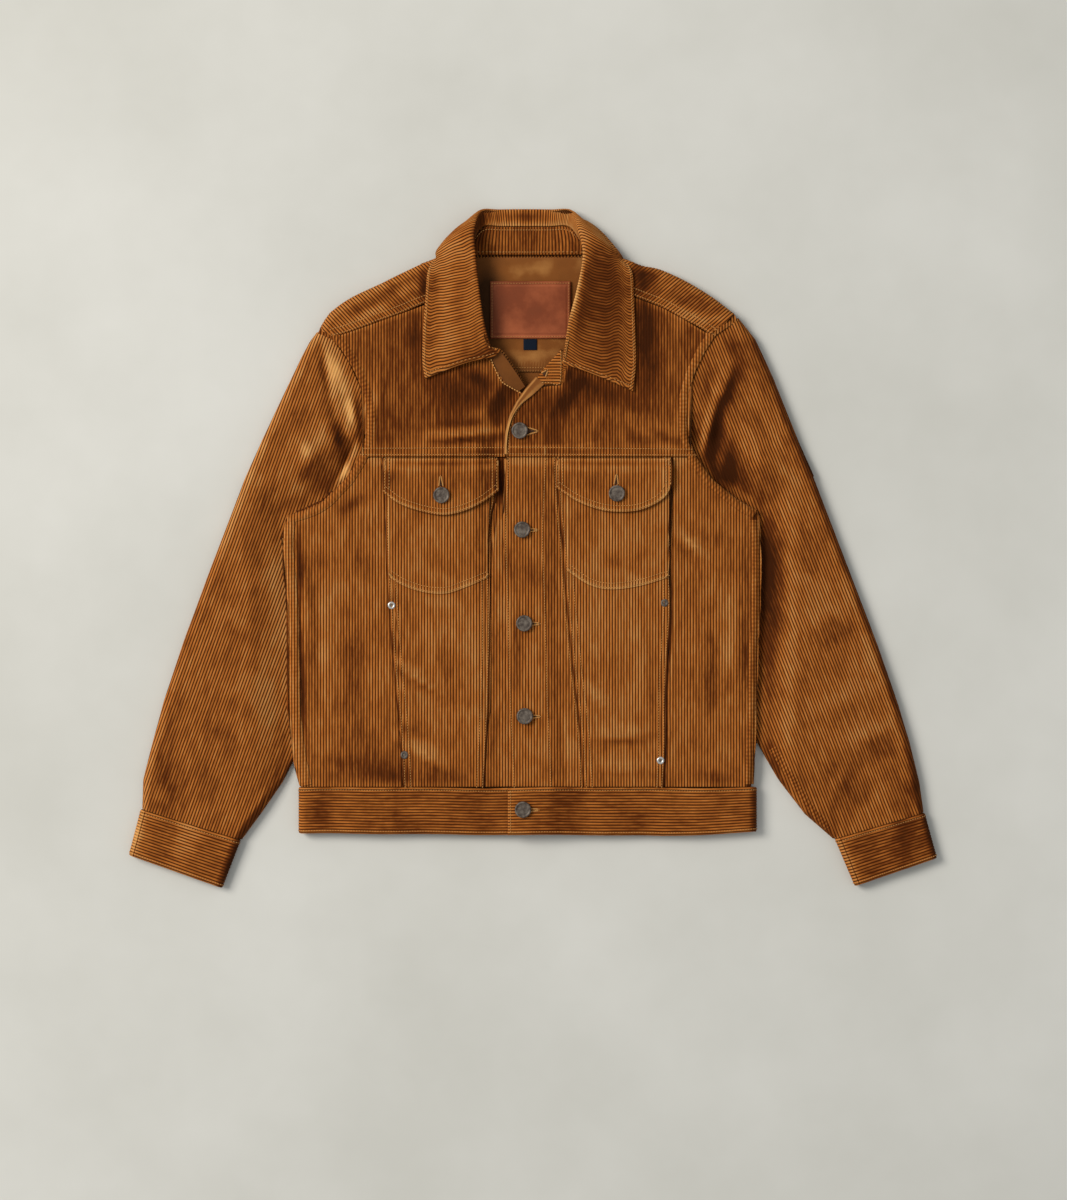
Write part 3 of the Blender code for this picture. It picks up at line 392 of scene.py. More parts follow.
# Seams from the hem up to the yoke.
# y, then x of: left pocket seam, left inner seam, right front edge, right inner seam, right pocket seam
SEAMS = np.array([
    (-262.6, -143, -52.8, -24.2, 56.1, 144.1), (-216.6, -145.2, -50.6, -25.9, 53.4, 146.3),
    (-175.9, -148.5, -48.4, -28.1, 49.5, 146.3), (-135.2, -152.4, -47.3, -29.2, 44.6, 147.4),
    (-94.5, -155.7, -46.2, -30.3, 40.7, 150.2), (-63.7, -157.9, -46.8, -31, 37.4, 151.8),
    (-25.2, -160.6, -47.3, -32.5, 34.7, 151.2), (11.1, -162.2, -46.8, -33.6, 32.5, 150.7),
    (34.2, -162.2, -45.1, -33, 29.7, 150.7), (58.4, -162.2, -40.7, -31.9, 28.1, 151.2),
    (102.4, -166.7, -39.6, -30, 26.4, 152.4),
])
# Neck end of the right front edge: x, y, width of the facing that shows there.
TURNED = np.array([
    (-30, 100.2, 0.3), (-29.9, 113.4, 0.4), (-28.4, 128.8, 0.8), (-24.2, 145.3, 1.8), (-16.5, 160.2, 4.2),
    (-7.2, 173.4, 8.4), (4.4, 187.1, 10.5),
])
# Folds of the fronts: x, y, x, y, half width, height
FOLDS = [
    (-150.7, -127.5, -95.7, -158.3, 4.5, 2.3), (-144.1, -145.1, -91.3, -175.9, 6, -1.1),
    (-146.3, -213.3, -84.7, -248.5, 5, 2.2), (-148.5, -197.9, -100.1, -222.1, 5, -1.8),
    (58.3, -151.7, 95.7, -182.5, 4, 2.4), (67.1, -167.1, 104.5, -200.1, 5, -1.8),
    (62.7, -205.6, 134.2, -202.3, 4, 2.2), (69.3, -217.7, 135.3, -215.5, 7, -0.6),
    (69.3, -241.9, 134.2, -241.9, 5, 1.6), (152.9, 22.1, 196.9, -15.3, 4.5, 2.4), (157.3, 3.4, 188.1, -26.3, 6, -2.2),
    (166.1, 33.1, 221.1, 8.9, 6, 1), (117.7, 136.5, 188.1, 105.7, 8, 2), (73.7, 158.5, 172.7, 136.5, 11, -0.9),
    (-113.3, 121.1, -36.3, 126.6, 3.5, 1.8), (-118.8, 129.9, -36.3, 136.5, 4.5, -1.2),
    (-113.3, 112.3, -36.3, 117.8, 3, -1), (-168.3, 193.7, -174.9, 118.9, 8, 1.6),
    (-118.8, 180.5, -41.8, 143.1, 15, -1.8), (40.7, 213.5, 33, 178.3, 7, 1.7),
    (-256.3, 19.9, -251.9, -244.1, 2.6, -1.4), (-254.1, -13.1, -240.9, -101.1, 7, 1.6),
    (-238.7, -57.1, -232.1, -167.1, 7, -1.4), (-113.3, -70.3, -95.7, -145.1, 11, 1.4),
    (222.2, -46.1, 225.5, -167.1, 8, 1.6), (200.2, -79.1, 203.5, -189.1, 8, -1.4),
    (-23.1, -46.1, -20.9, -167.1, 6, 0.8), (117.7, -79.1, 126.5, -189.1, 10, 1.2),
    (-25.3, -13.1, -3.3, -54.9, 9, -1.2), (-223.3, 30.9, -190.3, -13.1, 9, 1.2),
    (-206.8, 39.7, -177.1, 52.9, 7, -1.3), (-135.3, -13.1, -69.3, -40.6, 6, -0.8),
    (57.2, -13.1, 134.2, -35.1, 6, -0.8), (-223.3, -156.1, -168.3, -244.1, 11, 1.1),
    (29.7, -167.1, 36.3, -255.1, 6, -0.9), (-14.3, -101.1, 20.9, -131.9, 5, 0.9), (-18.7, -215.5, 29.7, -246.3, 6, 1),
    (172.7, -112.1, 222.2, -156.1, 9, 0.9), (161.7, -211.1, 227.7, -250.7, 9, -1),
    (-245.3, -233.1, -168.3, -250.7, 6, -1),
]
# Painted light and shade of the fronts, with painted shade under the collar and painted highlights on folds:
# x, y, x, y, half width, how much
FRONT_PAINTED_LIGHT = [
    (-118.8, 176.1, -41.8, 149.7, 19, -0.2), (46.2, 187.1, 106.7, 165.1, 9, -0.22),
    (-168.3, 217.9, -124.3, 228.9, 22, -0.06), (-64.9, 187.1, -36.3, 154.1, 12, -0.14),
    (-78.1, 194.8, -42.9, 178.3, 7, -0.34), (-51.7, 157.4, -48.4, 113.4, 8, 0.36),
    (-50.6, 8.9, -50.6, -255.1, 7, 0.16), (-245.3, -247.4, -69.3, -257.3, 7, -0.22),
    (152.9, -250.7, 233.2, -255.1, 7, -0.18), (-3.3, 159.6, 73.7, 160.7, 12, -0.18),
    (106.7, 136.5, 144.1, 115.6, 4.5, 0.24), (-159.5, 93.1, -40.7, 93.1, 4, -0.28),
    (29.7, 93.1, 148.5, 93.1, 4, -0.28), (124.3, 288.3, 126.5, 171.7, 12, -0.46),
    (35.2, 189.3, 73.7, 167.3, 11, -0.18), (-106.7, 122.2, -34.1, 125.5, 5, 0.2),
    (117.7, 112.3, 174.9, 107.9, 6, 0.24), (-172.7, 140.9, -168.3, 184.9, 10, 0.1),
    (-23.1, -24.1, 9.9, -40.6, 18, -0.14), (-223.3, 30.9, -177.1, 52.9, 10, -0.16),
    (-256.3, -57.1, -251.9, -233.1, 4, -0.1), (-144.1, -133, -95.7, -161.6, 3, 0.36),
    (60.5, -156.1, 91.3, -182.5, 4, 0.32), (64.9, -208.9, 135.3, -202.3, 4, 0.28),
    (78.1, -244.1, 134.2, -244.1, 6, 0.16), (157.3, 17.7, 194.7, -13.1, 5, 0.34),
    (161.7, -4.3, 188.1, -28.5, 6, -0.22), (-141.9, -79.1, -58.3, -112.1, 22, 0.06),
    (62.7, -57.1, 128.7, -123.1, 26, 0.04), (233.2, 30.9, 238.7, -255.1, 6, -0.16),
    (-14.3, 52.9, 18.7, 52.9, 14, -0.14), (-140.8, -216.6, -91.3, -244.1, 5, 0.22),
    (183.7, -101.1, 222.2, -189.1, 16, -0.06), (-194.7, -13.1, -199.1, -233.1, 16, -0.18),
    (-256.3, 19.9, -253, -68.1, 3.4, -0.55), (-254.1, -68.1, -249.7, -244.1, 3.2, -0.42),
    (-151.8, -46.1, -113.3, -29.6, 8, -0.08), (-18.7, 74.9, 18.7, 74.9, 12, -0.16),
    (-36.3, 94.7, -35.2, 61.7, 3, -0.2), (130.9, 85.9, 135.3, 52.9, 11, 0.12), (-60.5, 88.1, -53.9, 57.3, 8, 0.14),
    (-64.9, 8.9, -56.1, -244.1, 12, 0.12), (-239.8, -235.3, -58.3, -250.7, 12, -0.16),
    (172.7, -244.1, 233.2, -250.7, 12, -0.12), (-151.8, 90.3, -163.9, 63.9, 13, -0.24),
    (-130.9, 272.9, -128.7, 193.7, 8, -0.22), (-129.8, -57.1, -69.3, -61.5, 6, 0.12),
    (148.5, 162.9, 172.7, 118.9, 12, 0.14), (36.3, 85.9, 141.9, 85.9, 9, 0.06),
    (-212.3, -46.1, -234.3, -79.1, 12, 0.08), (183.7, -46.1, 222.2, -57.1, 12, 0.06),
]


def seam_x(n, y):
    return np.interp(y, SEAMS[:, 0], SEAMS[:, n])


def front_painted_light(x, y):
    """Painted light and shade from the table, and a painted shade along each long seam."""
    lay = fold_and_light_strips(x, y, FRONT_PAINTED_LIGHT)
    for n, amount in ((1, 0.2), (2, 0.6), (4, 0.2), (5, 0.6)):
        lay -= amount * np.exp(-((x - seam_x(n, y)) / 1.5) ** 2) * (y < YOKE_Y)
    return lay


def front_at(x, y, side):
    """Top of a front: the left one dips under the right one beside the front edge."""
    cover = np.where(y < YOKE_Y, seam_x(3, y), np.interp(y, TURNED[:, 1], TURNED[:, 0]))
    if side < 0:
        z = FRONT - (2.6 + 1.6 * smooth(y, 25.4, 58.4)) * smooth(x, cover - 34, cover - 8)
    else:
        z = FRONT + 1.5 * (1 - smooth(x, cover + 40, cover + 62))
    z = z + fold_and_light_strips(x, y, FOLDS)
    z = z + 0.35 * np.sin(x / 17 + 1.3 * np.sin(y / 41)) * np.sin(y / 29 + x / 60)
    for mask, edge in ((x < 0, EDGE_LEFT), (x >= 0, EDGE_RIGHT)):
        d, rest = nearest(edge, x[mask], y[mask])
        low = back_under(x[mask], y[mask]) + ON_BACK
        z[mask] -= rest[:, 0] * (1 - rounded(d, ROLL)) * (z[mask] - low)
    return z


def seam_line(n, step=1):
    """Points of a seam from the hem up, or from the yoke down where step is -1."""
    return [(row[n], row[0]) for row in SEAMS][::step]


def on_front(side, rise=0.0):
    """A panel of the front. Its top end goes in beneath the yoke."""
    return lambda x, y: (x, y, front_at(x, y, side) + rise - (1.7 + rise) * smooth(y, 97.5, 100.2))


SIDE_LEFT = [
    (-257.4, -262.6), (-266.8, -216.6), (-268.4, -175.9), (-268.4, -135.2), (-268.4, -94.5), (-269.5, -63.7),
    (-273.9, -25.2), (-275.6, 11.1), (-270.6, 35.3), (-253, 41.4), (-235.4, 49.6), (-217.8, 65), (-204.6, 79.3),
    (-192.5, 99.1),
]
SIDE_RIGHT = [
    (240.9, -262.6), (243.7, -216.6), (244.8, -175.9), (245.9, -135.2), (247, -94.5), (248.6, -63.7), (249.7, -25.2),
    (248.6, 11.1), (246.4, 41.9), (224.4, 55.1), (199.1, 74.9), (181.5, 99.1),
]
flat_r, panel_l, panel_r = on_front(1), on_front(-1, LAPPED), on_front(1, LAPPED)
cloth("side_panel_l", SIDE_LEFT + seam_line(1, -1), 0, on_front(-1), ["side_panel_left"], painted_shading=front_painted_light)
cloth("side_panel_r", SIDE_RIGHT + seam_line(5, -1), 0, flat_r, ["side_panel_right"], painted_shading=front_painted_light)
cloth("pocket_panel_l", seam_line(1) + seam_line(2, -1), 0, panel_l, ["pocket_panel_left"], edge=(1.5, 1.8),
      painted_shading=front_painted_light)
cloth("pocket_panel_r", seam_line(4) + seam_line(5, -1), 0, panel_r, ["pocket_panel_right"], edge=(1.5, 1.8),
      painted_shading=front_painted_light)
UNDER_STAND = 50     # how far the left centre goes in beneath the right one
# The left centre is painted darker toward its upper end, as shade under the right front that laps over it.
cloth("centre_l", seam_line(2) + [(x + UNDER_STAND, y) for x, y in seam_line(3, -1)], 0, on_front(-1),
      ["center_panel_left"], step=9, painted_shading=lambda x, y: 0.05 - 0.55 * smooth(y, 19.9, 63.9))
cloth("button_stand_r", seam_line(3) + seam_line(4, -1), 0, flat_r, ["center_panel_right"], edge=(1.3, 2.0),
      painted_shading=front_painted_light)


# ---------------------------------------------------------------- front yokes
# Front yokes of corduroy run from the seam across the chest to the shoulder seam. Their lower edge
# laps over the panels and is stitched down twice.
YOKE_LEFT = [
    (-192.5, 100.2), (-187.6, 112.3), (-183.7, 128.8), (-183.7, 149.7), (-185.4, 162.9), (-189.2, 176.1),
    (-194.7, 190.4), (-202.4, 204.7), (-211.2, 219), (-220.6, 231.1), (-177.1, 246.5), (-146.3, 257.5),
    (-103.4, 272.9), (-92.4, 261.9), (-72.6, 242.1), (-54.5, 217.3), (-40.7, 198.1), (-29.7, 183.2), (-11.6, 170.2),
    (19.8, 158.5), (19.8, 132.1), (20.9, 100.2),
]
YOKE_RIGHT = [
    (-29.2, 100.2), (-28.3, 123.3), (-23.1, 144.2), (-14.3, 160.7), (-2.8, 174.5), (15.4, 177.9), (30.8, 179.4),
    (34.1, 193.7), (44, 215.7), (61.6, 244.3), (94.6, 282.3), (143, 264.1), (167.2, 250.9), (198, 232.2),
    (191.4, 220.1), (183.7, 206.9), (176, 189.3), (171.6, 172.8), (170, 160.7), (169.4, 147.5), (170.5, 127.7),
    (174.9, 112.3), (181.5, 100.2),
]


def on_yoke(side):
    """The turned lower edge makes a band twice as thick along the seam."""
    return lambda x, y: (x, y, front_at(x, y, side) + 0.5 + 0.7 * (1 - smooth(y, 109.6, 112.9)))


yoke_l, yoke_r = on_yoke(-1), on_yoke(1)
# The yokes take the painted light of the fronts, 0.16 darker all over, with a painted highlight in from their edges.
for name, cut, place, node in (("yoke_l", YOKE_LEFT, yoke_l, "front_yoke_left"),
                               ("yoke_r", YOKE_RIGHT, yoke_r, "front_yoke_right")):
    cloth(name, cut, 0, place, [node], step=5, edge=(0.8, 1.2), rim=0.2, painted_shading=lambda x, y: front_painted_light(x, y) - 0.16)


# ---------------------------------------------------------------- facing of the right front
# A facing of smooth cotton twill backs the right front edge. It is sewn along that edge, and turns
# out with it at the open neck.
def spline(rows, t):
    """Catmull-Rom curve through rows; t runs from 0 to the number of rows less one."""
    p = np.asarray(rows, float)
    last_row = len(p) - 1
    i = np.clip(np.floor(t).astype(int), 0, last_row - 1)
    f = (t - i)[:, None]

    def get(k):
        return p[k] if p.ndim == 2 else p[k, np.arange(p.shape[1])]

    a, b = get(i), get(i + 1)
    before, after = get(np.maximum(i - 1, 0)), get(np.minimum(i + 2, last_row))
    ta = np.where((i == 0)[:, None], b - a, (b - before) / 2)
    tb = np.where((i == last_row - 1)[:, None], b - a, (after - a) / 2)
    return (a * (2 * f**3 - 3 * f**2 + 1) + ta * (f**3 - 2 * f**2 + f)
            + b * (3 * f**2 - 2 * f**3) + tb * (f**3 - f**2))


def unit(rows):
    """The same directions, one long each."""
    return rows / np.maximum(np.linalg.norm(rows, axis=1), 1e-6)[:, None]


def run_along(line):
    """Length run at each point of a line."""
    return np.concatenate([[0], np.cumsum(np.linalg.norm(np.diff(line, axis=0), axis=1))])


def dense(path, gap):
    """Points about gap apart on the curve through a path, and how far along it they are."""
    rows = np.array(path, float)
    fine = spline(rows, np.linspace(0, len(rows) - 1, 60 * len(rows)))
    run = run_along(fine[:, :2])
    at = np.linspace(0, run[-1], max(2, int(run[-1] / gap)))
    return np.stack([np.interp(at, run, fine[:, k]) for k in range(rows.shape[1])], 1), at


FACED, FACING_DEPTH = 98, 30    # length of the turned edge, and the way round it


def turned_facing(x, y):
    """From its stitched edge over the turned edge of the front and back beneath it."""
    u = 0.2 + 5.8 * x / FACED
    edge = spline(TURNED, u)
    ahead = unit((spline(TURNED, np.minimum(u + 0.05, 6)) - spline(TURNED, np.maximum(u - 0.05, 0)))[:, :2])
    width = edge[:, 2]
    top = front_at(edge[:, 0] + 6, edge[:, 1], 1) + 1.9
    section = np.array([(width + 0.5, top + 0.1), (width / 2 + 0.2, top + 0.3)] + [
        (0 * width + n, top - drop)
        for n, drop in ((-0.4, 0.5), (-0.9, 1.9), (-0.4, 4.2), (1.0, 5.3), (12.0, 5.4))])
    n, z = spline(section.transpose(0, 2, 1), y / FACING_DEPTH * 6).T
    return edge[:, 0] + ahead[:, 1] * n, edge[:, 1] - ahead[:, 0] * n, z


def front_facing_painted_light(x, y):
    """A painted highlight along the turned edge, where the light catches it, and painted shade further in."""
    d, _ = nearest(TURNED[:, :2], x, y)
    return 0.42 * np.exp(-(d / 1.1) ** 2) + 0.1 - 0.12 * smooth(d, 4, 9)


def oblong(right, top, left=0, bottom=0):
    return [(left, bottom), (right, bottom), (right, top), (left, top)]


LINED = {"pile": 0, "mats": (TWILL,), "slot": "lining_twill"}    # cut of smooth twill
cloth("facing_r", oblong(FACED, FACING_DEPTH), 0, turned_facing, ["front_facing_right"], held="folded", wall=0.8,
      step=1.0, edge=(0.3, 0.8), rests=["yoke_r"], flip=True, cell=6, painted_shading=front_facing_painted_light, **LINED)


# ---------------------------------------------------------------- back yoke
# The back yoke is one cut of corduroy that comes forward over both shoulders. Its flat part is made
# with the ribs upright, and each shoulder goes round the fold and down to the front seam.
# Fold of the shoulder x, y, and its front seam x, y
SHOULDER_LEFT = np.array([
    (-236.5, 239.9, -220, 232.2), (-223.3, 259.7, -201.3, 237.7), (-200.2, 276.2, -177.1, 246.5),
    (-165, 292.7, -146.3, 257.5), (-127.6, 311.4, -125.4, 266.3), (-115, 316.4, -106.7, 272.9),
    (-101.2, 321.9, -91.3, 277.3),
])
SHOULDER_RIGHT = np.array([
    (95.7, 320.2, 83.6, 285), (108.9, 315.8, 97.9, 281.7), (119.9, 311.4, 117.7, 274), (139.7, 307, 143, 264.1),
    (167.2, 294.9, 167.2, 250.9), (198, 276.2, 183.7, 242.1), (225.5, 255.3, 196.9, 233.3),
])
# Painted light and shade of the shoulders, in rows like those of the fronts; the shoulders are also 0.12 darker all
# over.
SHOULDER_PAINTED_LIGHT = [
    (117.7, 319.1, 122.1, 277.3, 8, -0.38), (129.8, 314.7, 134.2, 283.9, 7, -0.16),
    (222.2, 253.1, 183.7, 253.1, 6, 0.25), (-119.9, 308.1, -119.9, 272.9, 5, -0.4),
    (-206.8, 245.4, -146.3, 275.1, 7, 0.16), (196.9, 239.9, 134.2, 277.3, 8, 0.24),
    (108.9, 314.7, 106.7, 281.7, 6, -0.2), (-144.1, 289.4, -168.3, 272.9, 6, -0.1),
    (172.7, 272.9, 139.7, 286.1, 6, 0.08),
]
SHOULDER_FOLDS = [
    (-201.3, 253.1, -155.1, 272.9, 5, -0.8), (-163.9, 267.4, -115.5, 290.5, 6, 0.7),
    (192.5, 253.1, 150.7, 272.9, 5, -0.8), (172.7, 277.3, 128.7, 290.5, 6, 0.7),
]
YOKE_BACK = [
    (-184.8, 205.8), (170.5, 205.8), (207.9, 238.8), (216.7, 253.1), (192.5, 270.7), (161.7, 287.2), (136.4, 297.1),
    (118.8, 303.7), (96.8, 314.7), (96.8, 320.7), (-101.2, 320.7), (-101.2, 314.7), (-112.2, 308.1), (-124.3, 302.6),
    (-159.5, 283.9), (-193.6, 267.4), (-214.5, 250.9), (-222.2, 230),
]


def heading(line):
    return unit(np.gradient(line, axis=0))


def shoulder_at(fold, outward):
    """Round the fold: flat on top, half round at the fold, and the last of it beneath."""

    def place(x, y):
        d, rest = nearest(np.hstack([fold, fold, outward]), x, y)
        foot, out = rest[:, :2], unit(rest[:, 2:])
        side = ((np.stack([x, y], 1) - foot) * out).sum(1)
        beyond = np.where(side > 0, d, 0)
        low = back_under(foot[:, 0] - out[:, 0] * 6, foot[:, 1] - out[:, 1] * 6)
        radius = (FRONT + 1.8 - low) / 2
        angle = np.clip(beyond / radius, 0, math.pi / 2)
        past = np.maximum(beyond - radius * math.pi / 2, 0)
        inward = radius * (1 - np.cos(angle)) + past
        top = low + radius + np.sqrt(np.clip(radius**2 - (radius - np.clip(d, 0, radius)) ** 2, 0, None))
        z = np.where(side > 0, low + radius - radius * np.sin(angle), top)
        px = np.where(side > 0, foot[:, 0] - out[:, 0] * inward, x)
        py = np.where(side > 0, foot[:, 1] - out[:, 1] * inward, y)
        return px, py, z + fold_and_light_strips(px, py, SHOULDER_FOLDS) * (side < 0)

    return place


ROUND = 15           # how far the cut of a shoulder goes beyond its fold
cloth("yoke_back", YOKE_BACK, 0, lambda x, y: (x, y, back_under(x, y)), ["back_yoke"], step=16, **HIDDEN)
SHOULDER_SEAMS = []
for tag, table, tilt in (("l", SHOULDER_LEFT, -43), ("r", SHOULDER_RIGHT, 49)):
    fold, seam = dense(table[:, 0:2], 4)[0], dense(table[:, 2:4], 4)[0]
    outward = heading(fold)[:, ::-1] * (-1, 1)
    SHOULDER_SEAMS.append((seam, shoulder_at(fold, outward)))
    cloth(f"shoulder_{tag}", np.vstack([fold + outward * ROUND, seam[::-1]]), tilt, SHOULDER_SEAMS[-1][1], [],
          held="folded", step=4, rests=["yoke_back"], edge=(1.0, 1.4), painted_shading=listed_painted_light(SHOULDER_PAINTED_LIGHT, -0.12))


# ---------------------------------------------------------------- yoke facing, patch and size tab
# Inside, smooth twill faces the back yoke, its lower edge turned in and stitched down twice. A bare
# leather patch, stitched all round, and a bare woven tab are sewn on it.
FACING = [
    (-161.7, 194.3), (-161.7, 266.3), (-129.8, 281.7), (-94.6, 303.7), (-84.7, 319.1), (-47.3, 319.9), (-1.1, 319.9),
    (45.1, 319.9), (81.4, 319.1), (91.3, 302.6), (121, 281.7), (150.7, 266.3), (150.7, 194.3),
]
DIPS = [(-58.3, 272.9, -53.9, 215.7, 4, 0.5), (7.7, 223.4, 29.7, 215.7, 5, -0.4)]
# Painted light and shade of the yoke facing: the shadow of the collar down its left part, a darker spot below it, and
# paler strips above and below the patch.
FACING_PAINTED_LIGHT = [(-49.5, 314.7, -49.5, 215.7, 17, -0.7), (-39.6, 223.4, -30.8, 209.1, 8, -0.2),
              (-36.3, 308.1, 29.7, 308.1, 6, 0.08), (-36.3, 213.5, 29.7, 213.5, 5, 0.1)]


def on_facing(rise=0.0):
    return lambda x, y: (x, y, back_under(x, y) + 3.9 + fold_and_light_strips(x, y, DIPS) + rise)


def yoke_facing_painted_light(x, y):
    """Painted light and shade: collar shadow at the left, the yoke's ribs pressing through at the turned lower edge,
    that edge darker.
    """
    pressed = 0.07 * np.cos(x * 2 * math.pi / WALE) * smooth(-y, -206.9, -203.6)
    return fold_and_light_strips(x, y, FACING_PAINTED_LIGHT) + pressed - 0.16 * smooth(-y, -204.7, -193.7)


cloth("facing_yoke", FACING, 0, on_facing(), ["yoke_facing"], wall=1.0, step=5, edge=(0.5, 1.2),
      rests=["yoke_back"], columns=(0, 0.5), painted_shading=yoke_facing_painted_light, **LINED)

# Cowhide, tanned with bark and waxed: an even brown, paler where it was handled, and painted darker where the shadow
# of the collar falls on it. Its grain is drawn with cells of 1.1 mm, about twice as coarse as real pores.
LEATHER, tree, shader = finish_named("vegetable_tanned_leather")
space = add(tree, "TexCoord").outputs["Object"]
grain = add(tree, "TexVoronoi", {"Scale": 900.0, "Randomness": 0.9}, Vector=space)
hide = add(tree, "TexNoise", {"Scale": 28.0, "Detail": 4.0, "Roughness": 0.6}, Vector=space)
nap = add(tree, "Attribute", {"attribute_name": "nap"}).outputs["Fac"]
handled_and_painted_shade = add(tree, "Math", {"operation": "ADD", "use_clamp": True}, i0=hide, i1=nap)
tan = add(tree, "ValToRGB", {"stops": [(0, "#6A3214"), (0.34, "#783614"), (0.72, "#A4552E")]}, Fac=handled_and_painted_shade)
pores = add(tree, "Bump", {"Strength": 0.25, "Distance": 0.0003}, Height=grain)
feed(tree, shader, {"Roughness": 0.6, "Specular IOR Level": 0.25}, Base_Color=tan, Normal=pores)
PATCH = {"right": 41.8, "top": 293.8, "left": -47.3, "bottom": 231.1}
# Painted shade on the patch: the shadow of the collar along its left edge, and a little darker along a diagonal strip.
PATCH_PAINTED_SHADE = [(-48.4, 305.9, -46.2, 223.4, 12, -0.32), (-14.3, 272.9, 29.7, 250.9, 12, -0.06)]
on_twill = on_facing(2.2)


def patch_at(x, y):
    """The patch, with a plain line pressed in along its edges."""
    across, up = x + 2.8, y - 262.5
    line_d = np.maximum(np.abs(across) - 40.5, np.abs(up) - 27.5)
    return x, y, on_twill(x, y)[2] - 0.35 * np.exp(-(line_d / 0.7) ** 2) + 0.5 * np.sin(across / 30)


cloth("patch", oblong(**PATCH), 0, patch_at, ["leather_patch"], wall=1.6, step=1.2, pile=0, edge=(0.7, 0.9),
      mats=(LEATHER,), slot="leather", rests=["facing_yoke"], painted_shading=listed_painted_light(PATCH_PAINTED_SHADE))

# Polyester tape, woven close: nearly black, with picks 0.45 mm apart across it.
NAVY, tree, shader = finish_named("woven_polyester_tape")
picks = add(tree, "TexWave", {"Scale": 700.0, "bands_direction": "Y"}, Vector=add(tree, "TexCoord").outputs["Object"])
yarn = add(tree, "ValToRGB", {"stops": [(0, "#040A14"), (1, "#0B182A")]}, Fac=picks.outputs["Fac"])
feed(tree, shader, {"Roughness": 0.8, "Specular IOR Level": 0.15}, Base_Color=yarn)
cloth("tab", oblong(4.4, 230.5, -10.5, 218.5), 0, on_facing(1.1), ["size_tab"], wall=0.7, step=1.5, pile=0,
      edge=(0.3, 0.6), mats=(NAVY,), slot="navy_tape", rests=["facing_yoke"])


# ---------------------------------------------------------------- sleeves
# Each sleeve is an upper and an under cut of corduroy, its ribs along the arm. The under one lies flat
# on the floor, and the upper one is domed over it, low where it goes in beneath the body.
SLEEVE = 14.5        # height of a sleeve
SLEEVE_EDGE = 2.6    # and of its long edges, where the two cuts are sewn together
# Folds, and then painted light and shade, in rows like those of the fronts
SLEEVE_FOLDS = [
    (-234.3, 226.7, -218.9, 151.9, 4, -3), (-218.9, 151.9, -199.1, 112.3, 4, -4.5),
    (-199.1, 112.3, -214.5, 70.5, 5, -4), (-227.7, 162.9, -207.9, 118.9, 7, -0.8),
    (-201.3, 173.9, -192.5, 123.3, 4, 1.6), (-265.1, 140.9, -223.3, 52.9, 12, 1.4),
    (-256.3, 85.9, -232.1, 52.9, 8, -0.9), (-305.8, 52.9, -283.8, -13.1, 12, 1.6),
    (-256.3, 118.9, -236.5, 88.1, 7, 1.6), (-360.8, -57.1, -298.1, -101.1, 10, 0.9),
    (-349.8, -81.3, -289.3, -125.3, 9, -0.8), (-366.3, -158.3, -311.3, -208.9, 11, -0.8),
    (-370.7, -136.3, -304.7, -180.3, 9, 1), (-410.3, -230.9, -386.1, -274.9, 7, -1.5),
    (-386.1, -213.3, -360.8, -266.1, 8, 1.2), (-349.8, -244.1, -327.8, -299.1, 9, -0.9),
    (-316.8, -167.1, -267.3, -216.6, 8, 1.4), (-421.3, -266.1, -397.1, -290.3, 6, 1.4),
    (-322.3, -13.1, -256.3, -68.1, 9, 1), (-331.1, -123.1, -265.1, -156.1, 8, -1), (217.8, 197, 199.1, 149.7, 5, 2.6),
    (199.1, 149.7, 188.1, 105.7, 4.5, 3), (207.9, 154.1, 201.3, 94.7, 6, -5.5), (201.3, 94.7, 240.9, 46.3, 7, -4.5),
    (229.9, 217.9, 266.2, 140.9, 10, 1.8), (236.5, 140.9, 267.3, 52.9, 11, 2.6), (251.9, 30.9, 306.9, -13.1, 9, 1.4),
    (282.7, -101.1, 359.7, -57.1, 10, 0.8), (293.7, -128.6, 368.5, -84.6, 8, -0.5),
    (293.7, -189.1, 381.7, -156.1, 11, 0.8), (348.7, -244.1, 409.2, -216.6, 10, -0.5),
    (339.9, -219.9, 399.3, -191.3, 9, 1), (357.5, -293.6, 381.7, -255.1, 8, -0.8),
    (326.7, -277.1, 348.7, -238.6, 8, 0.9), (271.7, -13.1, 337.7, -46.1, 9, -1),
]
